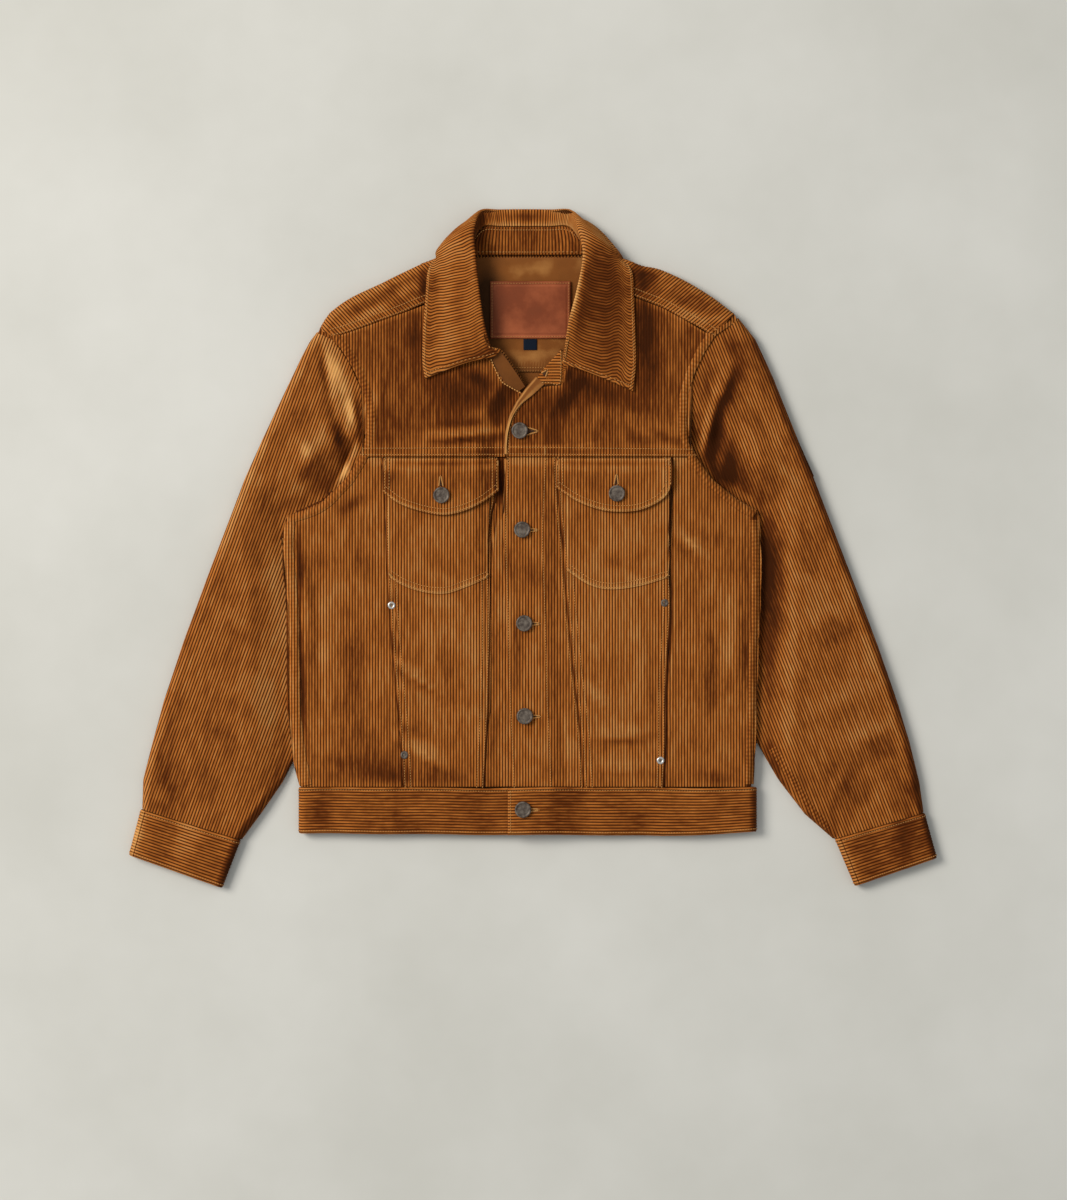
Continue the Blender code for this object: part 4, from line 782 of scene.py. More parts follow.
SLEEVE_PAINTED_LIGHT = [
    (-225.5, 222.3, -206.8, 167.3, 8.5, 0.56), (-206.8, 167.3, -195.8, 125.5, 7.5, 0.62),
    (-222.2, 160.7, -206.8, 118.9, 4.5, 0.3), (-247.5, 154.1, -223.3, 88.1, 12, 0.26),
    (-201.3, 99.1, -212.3, 72.7, 6, 0.36), (-194.7, 168.4, -190.3, 118.9, 3, -0.25),
    (-220, 136.5, -210.1, 107.9, 4, -0.3), (-236.5, 77.1, -298.1, 52.9, 14, 0.32),
    (-256.3, 118.9, -239.8, 91.4, 8, 0.26), (-262.9, 79.3, -249.7, 52.9, 8, 0.26),
    (-256.3, 162.9, -243.1, 129.9, 12, -0.14), (-304.7, 52.9, -289.3, -13.1, 14, 0.14),
    (-368.5, -184.7, -322.3, -219.9, 11, -0.12), (-401.5, -250.7, -388.3, -277.1, 9, -0.2),
    (-337.7, -277.1, -326.7, -315.6, 8, 0.06), (-360.8, -57.1, -298.1, -101.1, 9, 0.1),
    (-287.1, 39.7, -273.9, -167.1, 15, 0.34), (-342.1, 19.9, -423.5, -224.3, 6, -0.22),
    (-293.7, -112.1, -289.3, -266.1, 16, 0.3), (-256.3, 47.4, -223.3, 61.7, 10, 0.16),
    (-349.8, -13.1, -399.3, -167.1, 8, -0.08), (217.8, 193.7, 199.1, 146.4, 1.7, 0.26),
    (199.1, 146.4, 189.2, 107.9, 1.7, 0.3), (223.3, 189.3, 209, 151.9, 6, -0.32),
    (207.9, 151.9, 196.9, 102.4, 7, -0.6), (193.6, 94.7, 214.5, 63.9, 6, -0.4),
    (201.3, 121.1, 223.3, 68.3, 11, -0.42), (200.2, 217.9, 180.4, 140.9, 9, -0.12),
    (254.1, 44.1, 258.5, -57.1, 10, -0.36), (222.2, 77.1, 245.3, 44.1, 6, -0.22),
    (258.5, 36.4, 260.7, -211.1, 14, -0.55), (258.5, -205.6, 276.1, -277.1, 12, -0.48),
    (232.1, 217.9, 225.5, 171.7, 8, -0.22), (258.5, 118.9, 289.3, 52.9, 14, 0.12),
    (293.7, -123.1, 368.5, -87.9, 8, -0.02), (348.7, -241.9, 409.2, -216.6, 8, -0.12),
    (339.9, -219.9, 399.3, -191.3, 8, 0.1), (409.2, -244.1, 423.5, -282.6, 14, -0.16),
    (293.7, -13.1, 326.7, -79.1, 14, 0.06), (249.7, 217.9, 266.2, 184.9, 9, 0.1),
    (326.7, -79.1, 361.9, -70.3, 9, 0.08), (216.7, 123.3, 220, 81.5, 6, -0.3), (210.1, 235.5, 229.9, 206.9, 8, -0.32),
    (223.3, 223.4, 207.9, 140.9, 9, -0.2), (207.9, 140.9, 201.3, 94.7, 6, -0.22),
    (271.7, 39.7, 276.1, -84.6, 8, -0.22), (295.9, 118.9, 405.9, -216.6, 7, 0.14),
    (-228.8, 157.4, -217.8, 80.4, 10, 0.1), (-291.5, 30.9, -298.1, -299.1, 14, 0.13),
    (259.6, 44.1, 261.8, -61.5, 8, -0.2),
]


def sleeve_at(x, y):
    """Top of a sleeve, worked out from the edge of the body beside it and from its own two edges."""
    top = np.zeros(len(x))
    for mask, rows, sleeve in ((x < 0, EDGE_LEFT, SLEEVE_LEFT), (x >= 0, EDGE_RIGHT, SLEEVE_RIGHT)):
        a, b = x[mask], y[mask]
        d, rest = nearest(rows, a, b)
        low = rest[:, 1]
        order = rows[:, 1].argsort()
        line = np.interp(b, rows[order, 1], rows[order, 0])
        d = np.where((a - line) * -np.sign(rows[0, 0]) > 0, 0, d)
        z = low + (SLEEVE - low) * smooth(d, np.where(low < 9, 0, -1), 46)
        z = z - 2.0 * smooth(-b, 211.1, 293.6) + fold_and_light_strips(a, b, SLEEVE_FOLDS) * smooth(d, 2, 10)
        z = z + 0.4 * np.sin(a / 15 + 1.1 * np.sin(b / 37)) * np.sin(b / 24)
        for side in (sleeve[:, 0:2], sleeve[:8, 2:4]):
            above = z - SLEEVE_EDGE
            z = SLEEVE_EDGE + above * rounded(nearest(side, a, b)[0], np.clip(0.9 * above + 0.1, 0.5, 10))
        top[mask] = z
    return x, y, top


def level(z):
    return lambda x, y: (x, y, np.full(len(x), z))


for tag, side, sleeve, tilt in (("l", "left", SLEEVE_LEFT, 20), ("r", "right", SLEEVE_RIGHT, -21.3)):
    outer = sleeve[:, 0:2]
    cloth(f"sleeve_upper_{tag}", np.vstack([outer, sleeve[::-1, 2:4]]), tilt, sleeve_at, [f"sleeve_upper_{side}"],
          step=5.5, rests=[f"sleeve_under_{tag}"], edge=(0.5, 1.5), painted_shading=listed_painted_light(SLEEVE_PAINTED_LIGHT, -0.02))
    cloth(f"sleeve_under_{tag}", np.vstack([outer, sleeve[::-1, 4:6]]), tilt, level(0.0), [f"sleeve_under_{side}"],
          step=18, **HIDDEN)


# ---------------------------------------------------------------- felled seams
# The armholes, the sides and the inner sleeves are felled: the edges lie folded over each other and
# are stitched down twice, which draws the seam into small puckers.
PUCKERS = 4.4        # from one pucker to the next
FELL_COLUMNS = 11    # points across a seam
NEEDLE = 0.62        # where its two stitched lines lie, of half its width


def felled(name, path, width, height, painted_shading, pucker=0.32, droop=0.0, tilt=0, lift=1.0):
    """The piled cloth of a seam along a path, with painted light and shade given for its two ends."""
    line, at = dense(path, 0.8)
    ahead = heading(line)
    mesh, i, j = flat_grid(name, FELL_COLUMNS, len(line))
    o, s = i / (FELL_COLUMNS - 1) * 2 - 1, at[j]
    aside = o * width / 2 + 0.25 * np.sin(s / 9.7) + 0.175 * np.sin(s / 4.1 + 1)
    x, y = line[j, 0] + ahead[j, 1] * aside, line[j, 1] - ahead[j, 0] * aside
    lean = math.radians(tilt)
    t, along = x * math.cos(lean) - y * math.sin(lean), x * math.sin(lean) + y * math.cos(lean)
    fold = s / PUCKERS * 2 * math.pi + 1.6 * np.sin(s / 23) + 1.1 * np.sin(s / 7.3 + o)
    z = height(x, y)[2] + (lift + 0.35) * (1 - np.abs(o) ** 4) - 0.35
    z += pucker * np.sin(fold) * (0.35 + 0.65 * np.abs(o)) * (1 - o**6)
    z -= 0.45 * (np.exp(-((o - NEEDLE) / 0.13) ** 2) + np.exp(-((o + NEEDLE) / 0.13) ** 2))
    z -= 0.4 * (1 - rib_at(t)) + droop * np.exp(-(s / 8) ** 2)
    # Painted light and shade: from the value for one end to that for the other, paler and darker with the puckers, and
    # a painted highlight along one edge.
    lay = np.interp(s, [0, at[-1]], painted_shading) + 0.2 * pucker * np.sin(fold + 0.7) + 0.12 * np.exp(-((o + 0.85) / 0.2) ** 2)
    piece = sewn_in(name, mesh, np.stack([x, y, z], 1), np.stack([t, along], 1), lay, 0.9, (CORDUROY,))


def body_top(side):
    return lambda x, y: (x, y, front_at(x, y, side) + 0.4)


ARMHOLE_LEFT = [
    (-234.1, 240.9), (-215.6, 231.1), (-196.9, 206.9), (-183.7, 178.3), (-178.2, 151.9), (-178.2, 128.8),
    (-182.6, 110.1), (-188.1, 96.9), (-200.2, 76), (-214.5, 60.6), (-229.9, 46.3), (-250.8, 36.4), (-268.4, 31.5),
]
ARMHOLE_RIGHT = [
    (223.1, 254.1), (203.5, 241), (193.6, 232.2), (179.3, 206.9), (166.7, 172.8), (164.5, 147.5), (165.6, 127.7),
    (170, 111.2), (177.1, 95.8), (195.3, 71.6), (220.6, 50.7), (244.2, 37),
]
SIDE_SEAM_LEFT = [
    (-266.2, 28.7), (-269, 1.2), (-264, -57.1), (-262.9, -102.2), (-261.2, -175.9), (-256.3, -219.9),
    (-248.6, -260.6),
]
SIDE_SEAM_RIGHT = [
    (243.1, 30.9), (245.9, -13.1), (244.8, -68.1), (242.6, -114.3), (240.4, -195.7), (237.1, -259.5),
]
SLEEVE_SEAM = [(264, -219.9), (280.5, -246.3), (302.5, -280.4), (324.5, -307.9)]
felled("armhole_l", ARMHOLE_LEFT, 10, body_top(-1), (-0.22, 0.02), droop=2.7)
felled("armhole_r", ARMHOLE_RIGHT, 10, body_top(1), (0.05, -0.02), droop=2.7)
felled("side_seam_l", SIDE_SEAM_LEFT, 12, body_top(-1), (0.06, 0.02), pucker=0.18)
felled("side_seam_r", SIDE_SEAM_RIGHT, 10, body_top(1), (0.0, -0.06), pucker=0.3)
felled("sleeve_seam_r", SLEEVE_SEAM, 10, sleeve_at, (-0.12, -0.12), pucker=0.4, tilt=-21.3, lift=0.6)


# ---------------------------------------------------------------- pockets and flaps
# Patch pockets of corduroy, stitched down with two lines along the rounded bottom, and flaps of two
# layers, turned out and edge stitched, that button down over them.
# Lower edges, each from its right corner to its left one
FLAP_LEFT = [(-37.4, 62.8), (-57.2, 48.5), (-82.5, 38.1), (-106.7, 36.4), (-143.0, 46.3), (-165.0, 60.6)]
FLAP_RIGHT = [(152.9, 69.4), (145.2, 56.2), (130.9, 46.3), (113.3, 40.3), (91.3, 39.2), (72.1, 41.9), (48.4, 50.7),
              (25.3, 65.6)]
POCKET_LEFT = [(-49.0, -33.4), (-71.5, -42.8), (-94.6, -50.5), (-118.8, -49.4), (-143.0, -41.7), (-159.0, -31.8)]
POCKET_RIGHT = [(149.6, -32.9), (115.0, -42.8), (83.6, -46.1), (60.5, -40.6), (36.9, -25.2)]
POCKET_TOP, FLAP_TOP = 81.5, 98.6


def curved(points):
    return dense(points, 3)[0]


def on_panel(side, rise):
    return lambda x, y: (x, y, front_at(x, y, side) + LAPPED + rise)


def flap_rise(side):
    """The free edge and the right corner of a flap stand a little proud of the pocket."""
    right, proud = (FLAP_LEFT[0][0], 0.6) if side < 0 else (FLAP_RIGHT[0][0], 1.5)
    return lambda x, y: (x, y, front_at(x, y, side) + 1.2 + 2.0 * smooth(-y, -95.8, -84.8) + 2.8
                         + 0.8 * smooth(-y, -66.1, -39.7) + proud * smooth(x, right - 16, right))


def with_top(edge, y, wider=0.0):
    """An outline: its curved lower edge, and the straight top at y."""
    (right, _), (left, _) = edge[0], edge[-1]
    return np.vstack([curved(edge), (left - wider, y), (right + wider, y)])


for tag, word, side, pocket, flap in (("l", "left", -1, POCKET_LEFT, FLAP_LEFT),
                                      ("r", "right", 1, POCKET_RIGHT, FLAP_RIGHT)):
    # Pockets and flaps take the painted light of the fronts, with a painted highlight in from their edges and painted
    # shade at the edge; the flaps are 0.06 darker.
    cloth(f"pocket_{tag}", with_top(pocket, POCKET_TOP, 1.5), 0, on_panel(side, 1.5), [f"pocket_{word}"], wall=1.6,
          step=5, rests=[f"pocket_panel_{tag}"], edge=(1.4, 1.8), rim=0.36, painted_shading=front_painted_light)
    cloth(f"flap_{tag}", with_top(flap, FLAP_TOP), 0, flap_rise(side), [f"flap_{word}"], wall=2.0, step=4,
          rests=[f"pocket_{tag}"], edge=(1.5, 2.0), rim=0.34, painted_shading=lambda x, y: front_painted_light(x, y) - 0.06)


# ---------------------------------------------------------------- collar
# The stand and the fall are double corduroy, their ribs square to the neck. The fall rolls over the
# stand, lies in two points on the fronts, and goes flat beneath the back of the neck.
# From the left front end round the neck to the right one: neck x, y, z, top of the stand x, y, z
STAND = np.array([
    (-15.4, 172.3, 9.6, -6.6, 179.4, 8), (-29.7, 183.8, 12.6, -16.5, 198.1, 12), (-44.6, 209.1, 14, -33, 219, 17.4),
    (-53.9, 217.9, 14, -53.4, 225.6, 18), (-75.9, 245.4, 14, -61.1, 252, 18), (-96.8, 280.6, 14, -66, 283.9, 18),
    (-99, 308.1, 11, -69.9, 321.3, 17.5), (-89.1, 321.3, 8.5, -62.7, 338.9, 12), (-62.7, 321.3, 7.8, -52.8, 353.8, 8),
    (-35.2, 321.3, 7, -34.1, 354.3, 7.4), (-9.9, 321.3, 7, -9.9, 354.3, 7.4), (17.6, 321.3, 7, 17.6, 354.3, 7.4),
    (48.4, 321.3, 7.8, 37.4, 353.8, 8), (83.6, 321.3, 8.5, 48.4, 338.9, 12), (94.6, 308.1, 11, 61.1, 319.1, 17.5),
    (88, 279.5, 14, 55, 281.7, 18), (66, 242.1, 14, 46.2, 248.7, 18), (48.4, 204.7, 14, 40.7, 222.3, 18),
    (36.3, 180.5, 15, 36.3, 213.5, 17), (25.3, 179.2, 15.5, 24.8, 208, 17), (16, 179.2, 16, 11, 194.3, 17),
])
# The same way round: roll x, y, z, middle x, y, z, turn x, y, z, edge x, y, z
FALL = np.array([
    (-42.4, 209.7, 23, -71.5, 203.1, 23, -101.2, 192.6, 20.6, -118.8, 185.5, 19.6),
    (-47.9, 222.3, 26, -75.9, 215.7, 24.5, -103.4, 209.6, 20.8, -121.6, 205.2, 19.4),
    (-54.5, 250.9, 29, -79.2, 245.4, 25.5, -103.4, 239.6, 20.8, -121, 235.5, 19.4),
    (-58.9, 283.9, 31, -81.4, 280.6, 26.5, -102.3, 277.3, 20.8, -118.3, 274.6, 19.4),
    (-62.7, 322.4, 30, -82.5, 321.3, 27, -101.2, 314.7, 21, -113.9, 309.2, 18.8),
    (-64.4, 351, 24, -86.9, 341.1, 24, -106.2, 328.5, 8.5, -95.7, 322.4, 0),
    (-57.2, 371.9, 9, -68.2, 364.2, 9, -77.6, 352.1, 4, -73.7, 312.5, 0),
    (-36.3, 373.3, 3.8, -36.9, 368.6, 0.3, -37.4, 352.1, 0, -38, 309.2, 0),
    (-9.9, 373.6, 3.7, -9.9, 368.8, 0.3, -9.9, 352.1, 0, -9.9, 308.1, 0),
    (18.7, 373.3, 3.8, 19.2, 368.6, 0.3, 19.8, 352.1, 0, 20.9, 309.2, 0),
    (41.8, 371.9, 9, 51.7, 364.2, 9, 63.8, 354.3, 4, 58.3, 312.5, 0),
    (50.6, 351, 24, 72.6, 340, 24, 97.4, 323.5, 8.5, 86.9, 321.3, 0),
    (54.5, 319.1, 30, 74.8, 318, 27, 93.5, 312.5, 21, 107.8, 307, 18.8),
    (47.9, 281.7, 31, 70.4, 278.4, 26.5, 94.6, 274.6, 20.8, 111.1, 271.8, 19.4),
    (39.6, 248.7, 29, 64.9, 243.4, 25.5, 94.6, 237.2, 20.8, 112.8, 233.3, 19.4),
    (35.8, 221.2, 26, 60.5, 214.6, 24.5, 94.6, 205.4, 20.8, 113.3, 200.3, 19.4),
    (33.6, 202.5, 23, 60.5, 192.6, 23, 91.3, 180.1, 20.6, 110, 171.9, 19.6),
])
FALL_DEPTH, STAND_DEPTH = 76.0, 36.0
# Painted light and shade of the collar: painted shade in its hollows and under the roll at the back of the neck, and
# painted highlights along its rolls; the fall is also 0.04 darker all over.
COLLAR_PAINTED_LIGHT = [
    (-102.3, 305.9, -113.3, 206.9, 10, -0.14), (-60.5, 314.7, -53.9, 217.9, 3.5, 0.22),
    (-78.1, 327.9, -78.1, 239.9, 13, -0.24), (-102.3, 338.9, -69.3, 358.7, 10, -0.16),
    (-47.3, 365.3, 29.7, 365.3, 6, -0.34), (73.7, 272.9, 97.9, 184.9, 26, -0.05),
    (-91.3, 272.9, -85.8, 217.9, 14, -0.09), (55, 333.4, 38.5, 211.3, 4, 0.4), (73.7, 338.9, 93.5, 314.7, 8, 0.1),
    (-53.9, 352.1, -51.7, 322.4, 4, -0.4),
]


def run_of(table):
    """Length along a table's second line of points, and the table's row number at each step of it."""
    rows = np.linspace(0, len(table) - 1, 400)
    return run_along(spline(table[:, 3:6], rows)), rows


def fall_at(x, y):
    """From the top of the stand over the roll, and down to the edge of the fall."""
    u = np.interp(x, FALL_RUN, FALL_ROWS)
    fall, stand = spline(FALL, u), spline(STAND, u + 2)
    away = np.abs(u - 8)
    first = stand[:, 3:6] + 4.2 * smooth(away, 5.5, 7)[:, None] * (0, 0, 1)
    line = np.stack([first, *(fall[:, k:k + 3] for k in (0, 3, 6, 9))])
    start = 0.02 + 0.27 * smooth(away, 1.5, 4)
    px, py, z = spline(line, start + (4 - start) * y / FALL_DEPTH).T
    wavy = 0.2 * np.sin(u * 2.3 + 0.6) * smooth(y, 35, 70) * smooth(away, 3, 5)
    return px, py, np.maximum(z + wavy, 0)


def stand_at(x, y):
    """From the seam at the neck to the top of the stand, or a little short of it past the back of the neck."""
    u = np.interp(x, STAND_RUN, STAND_ROWS)
    row = spline(STAND, u)
    start, end = 0.06, 0.99 - 0.13 * smooth(np.abs(u - 10), 2, 4)
    part = (start + (end - start) * y / STAND_DEPTH)[:, None]
    return tuple((row[:, 0:3] + (row[:, 3:6] - row[:, 0:3]) * part).T)


def lining_at(x, y):
    """Inner side of the stand at its front end, where it tapers to the 14 mm of its lining."""
    y = 2.75 * y - 9
    here, right, up = (np.array(stand_at(a, b)).T for a, b in ((x, y), (x + 0.5, y), (x, y + 0.5)))
    return tuple((here - 2.5 * unit(np.cross(right - here, up - here))).T)


FALL_RUN, FALL_ROWS = run_of(FALL)
STAND_RUN, STAND_ROWS = run_of(STAND)
FALL_LENGTH, STAND_LENGTH = FALL_RUN[-1], STAND_RUN[-1]
cloth("collar_fall", oblong(FALL_LENGTH, FALL_DEPTH), 0, fall_at, ["collar"], held="folded", wall=2.8, step=4,
      rests=["yoke_l", "yoke_r"], edge=(1.4, 2.2), rim=0.22, painted_shading=listed_painted_light(COLLAR_PAINTED_LIGHT, -0.04))
# The stand is painted 0.14 darker and the lining at its left end 0.28 darker, as shade beneath the fall of the collar.
cloth("collar_stand_band", oblong(STAND_LENGTH, STAND_DEPTH), 0, stand_at, ["collar_stand"], held="folded", wall=2.2,
      step=6, rests=["yoke_back"], edge=(0.8, 1.5), painted_shading=-0.14)
cloth("stand_lining_l", oblong(64, 14.5, 0.5, 0.5), 0, lining_at, [], held="folded", wall=0.7, step=2.5,
      edge=(0.4, 1.0), rests=["collar_stand_band"], cell=3, painted_shading=-0.28, **LINED)
# The end with the buttonhole, that shows at the neck, with its painted light 0.05 paler
STAND_END = [(31.4, 217.9), (32.5, 198.1), (30.3, 178.5), (19.8, 179.6), (11.0, 180.3), (2.8, 182.2),
             (5.5, 188.2), (11.0, 195.9), (18.7, 204.7)]
cloth("stand_end_r", STAND_END, 90, lambda x, y: (x, y, 18.9 + 0.9 * smooth(y, 180.5, 201.4)), [], held="folded",
      wall=2.0, step=1.2, rests=["yoke_r"], edge=(1.2, 1.8), painted_shading=0.05)


# ---------------------------------------------------------------- cuffs
# Each cuff is a closed band of double corduroy, its ribs round the wrist. It takes in the end of the
# sleeve between its two layers, and both of its long edges are stitched.
CUFF_ROUND, CUFF_HEIGHT = 236, 12.5
BAND_DEPTH = 52      # also of the waistband


def band_at(a, b, c, d):
    """Round a flattened cuff: along its top from the edge a d, and back beneath from the edge b c."""
    radius, width = CUFF_HEIGHT / 2, math.dist(a, b)
    flat = width - CUFF_HEIGHT
    half = flat + math.pi * radius

    def place(x, y):
        run = np.clip(x / CUFF_ROUND, 0, 1) * 2 * half
        beneath = run >= half
        run = run - half * beneath
        bend = np.maximum(run - flat, 0) / radius
        n = (radius + np.minimum(run, flat) + radius * np.sin(bend)) / width
        z = radius + radius * np.cos(bend)
        n, z = np.where(beneath, 1 - n, n), np.where(beneath, CUFF_HEIGHT - z, z)
        v = y / BAND_DEPTH
        px, py = ((d[k] + (c[k] - d[k]) * n) * (1 - v) + (a[k] + (b[k] - a[k]) * n) * v for k in (0, 1))
        wavy = 0.9 * np.sin(n * 11 + 0.6) * np.sin(n * math.pi) * (0.4 + 0.6 * v) - 0.8 * (1 - v) * n
        return px, py, z + (z > radius) * wavy

    return place


# Painted light and shade of the cuffs; the right cuff is also 0.12 darker all over.
CUFF_PAINTED_LIGHT = [
    (-435.6, -293.6, -440, -334.3, 9, 0.2), (-322.3, -326.6, -337.7, -371.7, 10, -0.26),
    (-421.3, -332.1, -360.8, -356.3, 8, -0.08), (343.2, -326.6, 359.7, -365.1, 9, 0.1),
    (381.7, -326.6, 431.2, -310.1, 26, -0.16), (431.2, -293.6, 444.4, -338.7, 12, -0.2),
]
CUFF_LAYS = (band_at((-432.3, -287.4), (-321.8, -321.6), (-342.1, -374.4), (-445.5, -337.6)),
             band_at((332.2, -320.4), (431.8, -291.3), (445.5, -340.9), (354.2, -372.2)))
for side, lay in zip(("left", "right"), CUFF_LAYS):
    cloth(f"cuff_band_{side[0]}", oblong(CUFF_ROUND, BAND_DEPTH), 90, lay, [f"cuff_{side}"], held="folded", wall=2.8,
          step=3.5, rests=["floor"], edge=(1.0, 2.0), rim=0.2,
          painted_shading=lambda x, y: fold_and_light_strips(x, y, CUFF_PAINTED_LIGHT) - 0.12 * (x > 0))


# ---------------------------------------------------------------- waistband
# A band of double corduroy, ribs along it, goes round the hem and takes in the lower edges of all the
# panels. It closes right over left, where its end is stitched down.
# x, z of its outer side, from the right front end round the back to the left front end
WAIST = np.array([
    (-27.9, 18), (-3.3, 18.1), (19.8, 17.8), (36.3, 15.4), (56.1, 13.6), (95.7, 13.2), (144.1, 13.2), (194.7, 13.2),
    (239.8, 13.2), (243.7, 12.2), (246.4, 9.5), (246.8, 6.6), (246.4, 3.7), (243.7, 1), (239.8, 0), (194.7, 0),
    (144.1, 0), (95.7, 0), (47.3, 0), (-1.1, 0), (-49.5, 0), (-97.9, 0), (-146.3, 0), (-194.7, 0), (-251.4, 0),
    (-255.2, 1), (-258, 3.7), (-258.5, 6.6), (-258, 9.5), (-255.2, 12.2), (-251.4, 13.2), (-212.3, 13.2),
    (-168.3, 13.2), (-124.3, 13.2), (-80.3, 13.2), (-47.3, 13.2), (-14.3, 13), (16.5, 13),
])
# x, y of its lower edge
HEM = np.array([
    (-258.5, -313.9), (-146.3, -315), (-28.6, -315), (62.7, -316.1), (143, -316.7), (246.8, -312.3),
])
# Painted light and shade of the waistband, which is also 0.12 darker all over, 0.03 less so right of x = 60 mm.
WAIST_PAINTED_LIGHT = [
    (-234.3, -271.6, -234.3, -307.9, 9, -0.1), (-251.9, -277.1, -251.9, -310.1, 6, -0.12),
    (-58.3, -277.1, -36.3, -293.6, 12, 0.04), (29.7, -290.3, 73.7, -296.9, 12, 0.08),
    (172.7, -277.1, 200.2, -293.6, 14, 0.1), (227.7, -271.6, 227.7, -307.9, 8, -0.1),
    (-190.3, -283.7, -102.3, -290.3, 9, 0.06), (95.7, -274.9, 139.7, -277.1, 9, 0.06),
    (-3.3, -271.6, 16.5, -307.9, 8, 0.02),
]
WAIST_RUN = run_along(WAIST)
WAIST_LENGTH = WAIST_RUN[-1]


def waist_at(x, y):
    """From the lower edge up to the hem of the panels, a little wavy in front."""
    px, z = np.interp(x, WAIST_RUN, WAIST[:, 0]), np.interp(x, WAIST_RUN, WAIST[:, 1])
    low = np.interp(px, HEM[:, 0], HEM[:, 1])
    v = y / BAND_DEPTH
    front = smooth(z, 8, 12.5)
    sag = 0.5 * np.sin(px / 37) + 0.4 * np.sin(px / 19 + 1)
    py = low + sag * front + (HEM_Y - 0.5 - low) * v
    return px, py, z + front * (0.9 * np.sin(px / 33 + 0.8) + 0.5 * np.sin(px / 14 + 2)) * (1 - 0.5 * v)


cloth("waistband_loop", oblong(WAIST_LENGTH, BAND_DEPTH), 90, waist_at, ["waistband"], held="folded", wall=3.2,
      step=6, rests=["floor"], edge=(1.4, 2.4), rim=0.2,
      painted_shading=lambda x, y: fold_and_light_strips(x, y, WAIST_PAINTED_LIGHT) - 0.12 + 0.03 * (x > 60))


# ---------------------------------------------------------------- topstitching
# Golden brown core-spun thread, 8 to 9 lockstitches to the inch, holds every felled seam and turned
# edge. Each stitch is a short twist of thread that dips into the pile at both of its ends.
# The material: a dull satin gold, with the slanted turns of its plies half a millimetre apart.
THREAD, tree, shader = finish_named("core_spun_sewing_thread")
twist = add(tree, "TexWave", {"Scale": 700.0, "Distortion": 2.0, "bands_direction": "DIAGONAL"},
            Vector=add(tree, "TexCoord").outputs["Object"])
ply = add(tree, "ValToRGB", {"stops": [(0, "#A86C2C"), (1, "#D09850")]}, Fac=twist.outputs["Fac"])
feed(tree, shader, {"Roughness": 0.6}, Base_Color=ply)
PITCH = 2.9          # from stitch to stitch


def sewn(name, lines, thick=0.42):
    """Stitches along lines. Each line: its points on the flat cut, and the way that cut is laid."""
    bm = bmesh.new()
    for path, place in lines:
        x, y = dense(path, PITCH)[0].T
        here = np.array(place(x, y)).T
        size, along = np.linalg.norm(np.gradient(here, axis=0), axis=1), heading(here)
        across = np.array(place(x + 0.4, y)).T - np.array(place(x - 0.4, y)).T
        up = unit(np.cross(across, np.array(place(x, y + 0.4)).T - np.array(place(x, y - 0.4)).T))
        side = unit(np.cross(up, along))
        for p, a, b, c, d in zip(here, along, side, np.cross(along, side), size):
            half = min(d, 1.3 * PITCH) * 0.46
            turn = np.column_stack([a * half, b * thick, c * thick, p + c * 0.15]).tolist()
            bmesh.ops.create_icosphere(bm, subdivisions=1, radius=1, matrix=Matrix([*turn, (0, 0, 0, 1 / MM)]) * MM)
    put_on(name, meshed(name, bm), (THREAD,))


def beside(path, gap):
    """The same path, gap to its right."""
    rows = np.asarray(path, float)
    return rows + heading(rows)[:, ::-1] * (1, -1) * gap


def level_line(start, end, y, count=60):
    return [(x, y) for x in np.linspace(start, end, count)]


sewn("stitching_yokes", [
    ([(-185.9, 109.6), (-124.3, 109.8), (-31.9, 110.6)], yoke_l),
    ([(-189.2, 102.9), (-124.3, 102.6), (-31.9, 103.1)], yoke_l),
    ([(-27.0, 110.8), (73.7, 109.7), (174.9, 108.5)], yoke_r),
    ([(-27.5, 103.3), (73.7, 102.6), (179.3, 102.2)], yoke_r),
    ([(-27.0, 105.7), (-26.4, 118.9), (-25.3, 129.9), (-20.4, 144.8), (-11.6, 159.1), (-0.6, 171.2)], yoke_r),
])
sewn("stitching_panels", [(beside(seam_line(n), gap), place) for n, place, gaps in (
    (1, panel_l, (2.6, 9.0)), (2, panel_l, (-2.6, -9.0)), (4, panel_r, (2.6, 9.0)), (5, panel_r, (-2.6, -8.0)),
    (3, flat_r, (3.6, 44.0)), (4, flat_r, (-2.8,))) for gap in gaps])
lines = []
for side, pocket, flap in ((-1, POCKET_LEFT, FLAP_LEFT), (1, POCKET_RIGHT, FLAP_RIGHT)):
    on_flap, right, left = flap_rise(side), flap[0][0], flap[-1][0]
    for gap in (2.3, 7.2):
        rim = beside(curved(flap), gap)
        lines += [(rim, on_flap), ([(right - gap, 98.0), (right - gap, rim[0][1])], on_flap),
                  ([(left + gap, 98.0), (left + gap, rim[-1][1])], on_flap),
                  (beside(curved(pocket), gap + 0.3), on_panel(side, 1.5))]
sewn("stitching_pockets", lines)
neck_l = [(-45.8, 206.5), (-39.8, 192.7), (-34.3, 182.9), (-24.2, 176.1), (-14.3, 170.8)]
end_r = [(30.8, 214.6), (30.8, 198.1), (28.9, 180.3), (18.7, 181.3), (11.0, 181.8)]
sewn("neck_edge_l", [(neck_l, level(17.3))], thick=0.85)
sewn("stitching_stand_end", [(end_r, level(19.4))], thick=0.5)
INSET = 3.6          # of the stitches in from the edges of the fall
lines = [(level_line(INSET, FALL_LENGTH - INSET, FALL_DEPTH - INSET), fall_at)]
lines += [([(x, y) for y in (14, 40, FALL_DEPTH - INSET)], fall_at) for x in (INSET, FALL_LENGTH - INSET)]
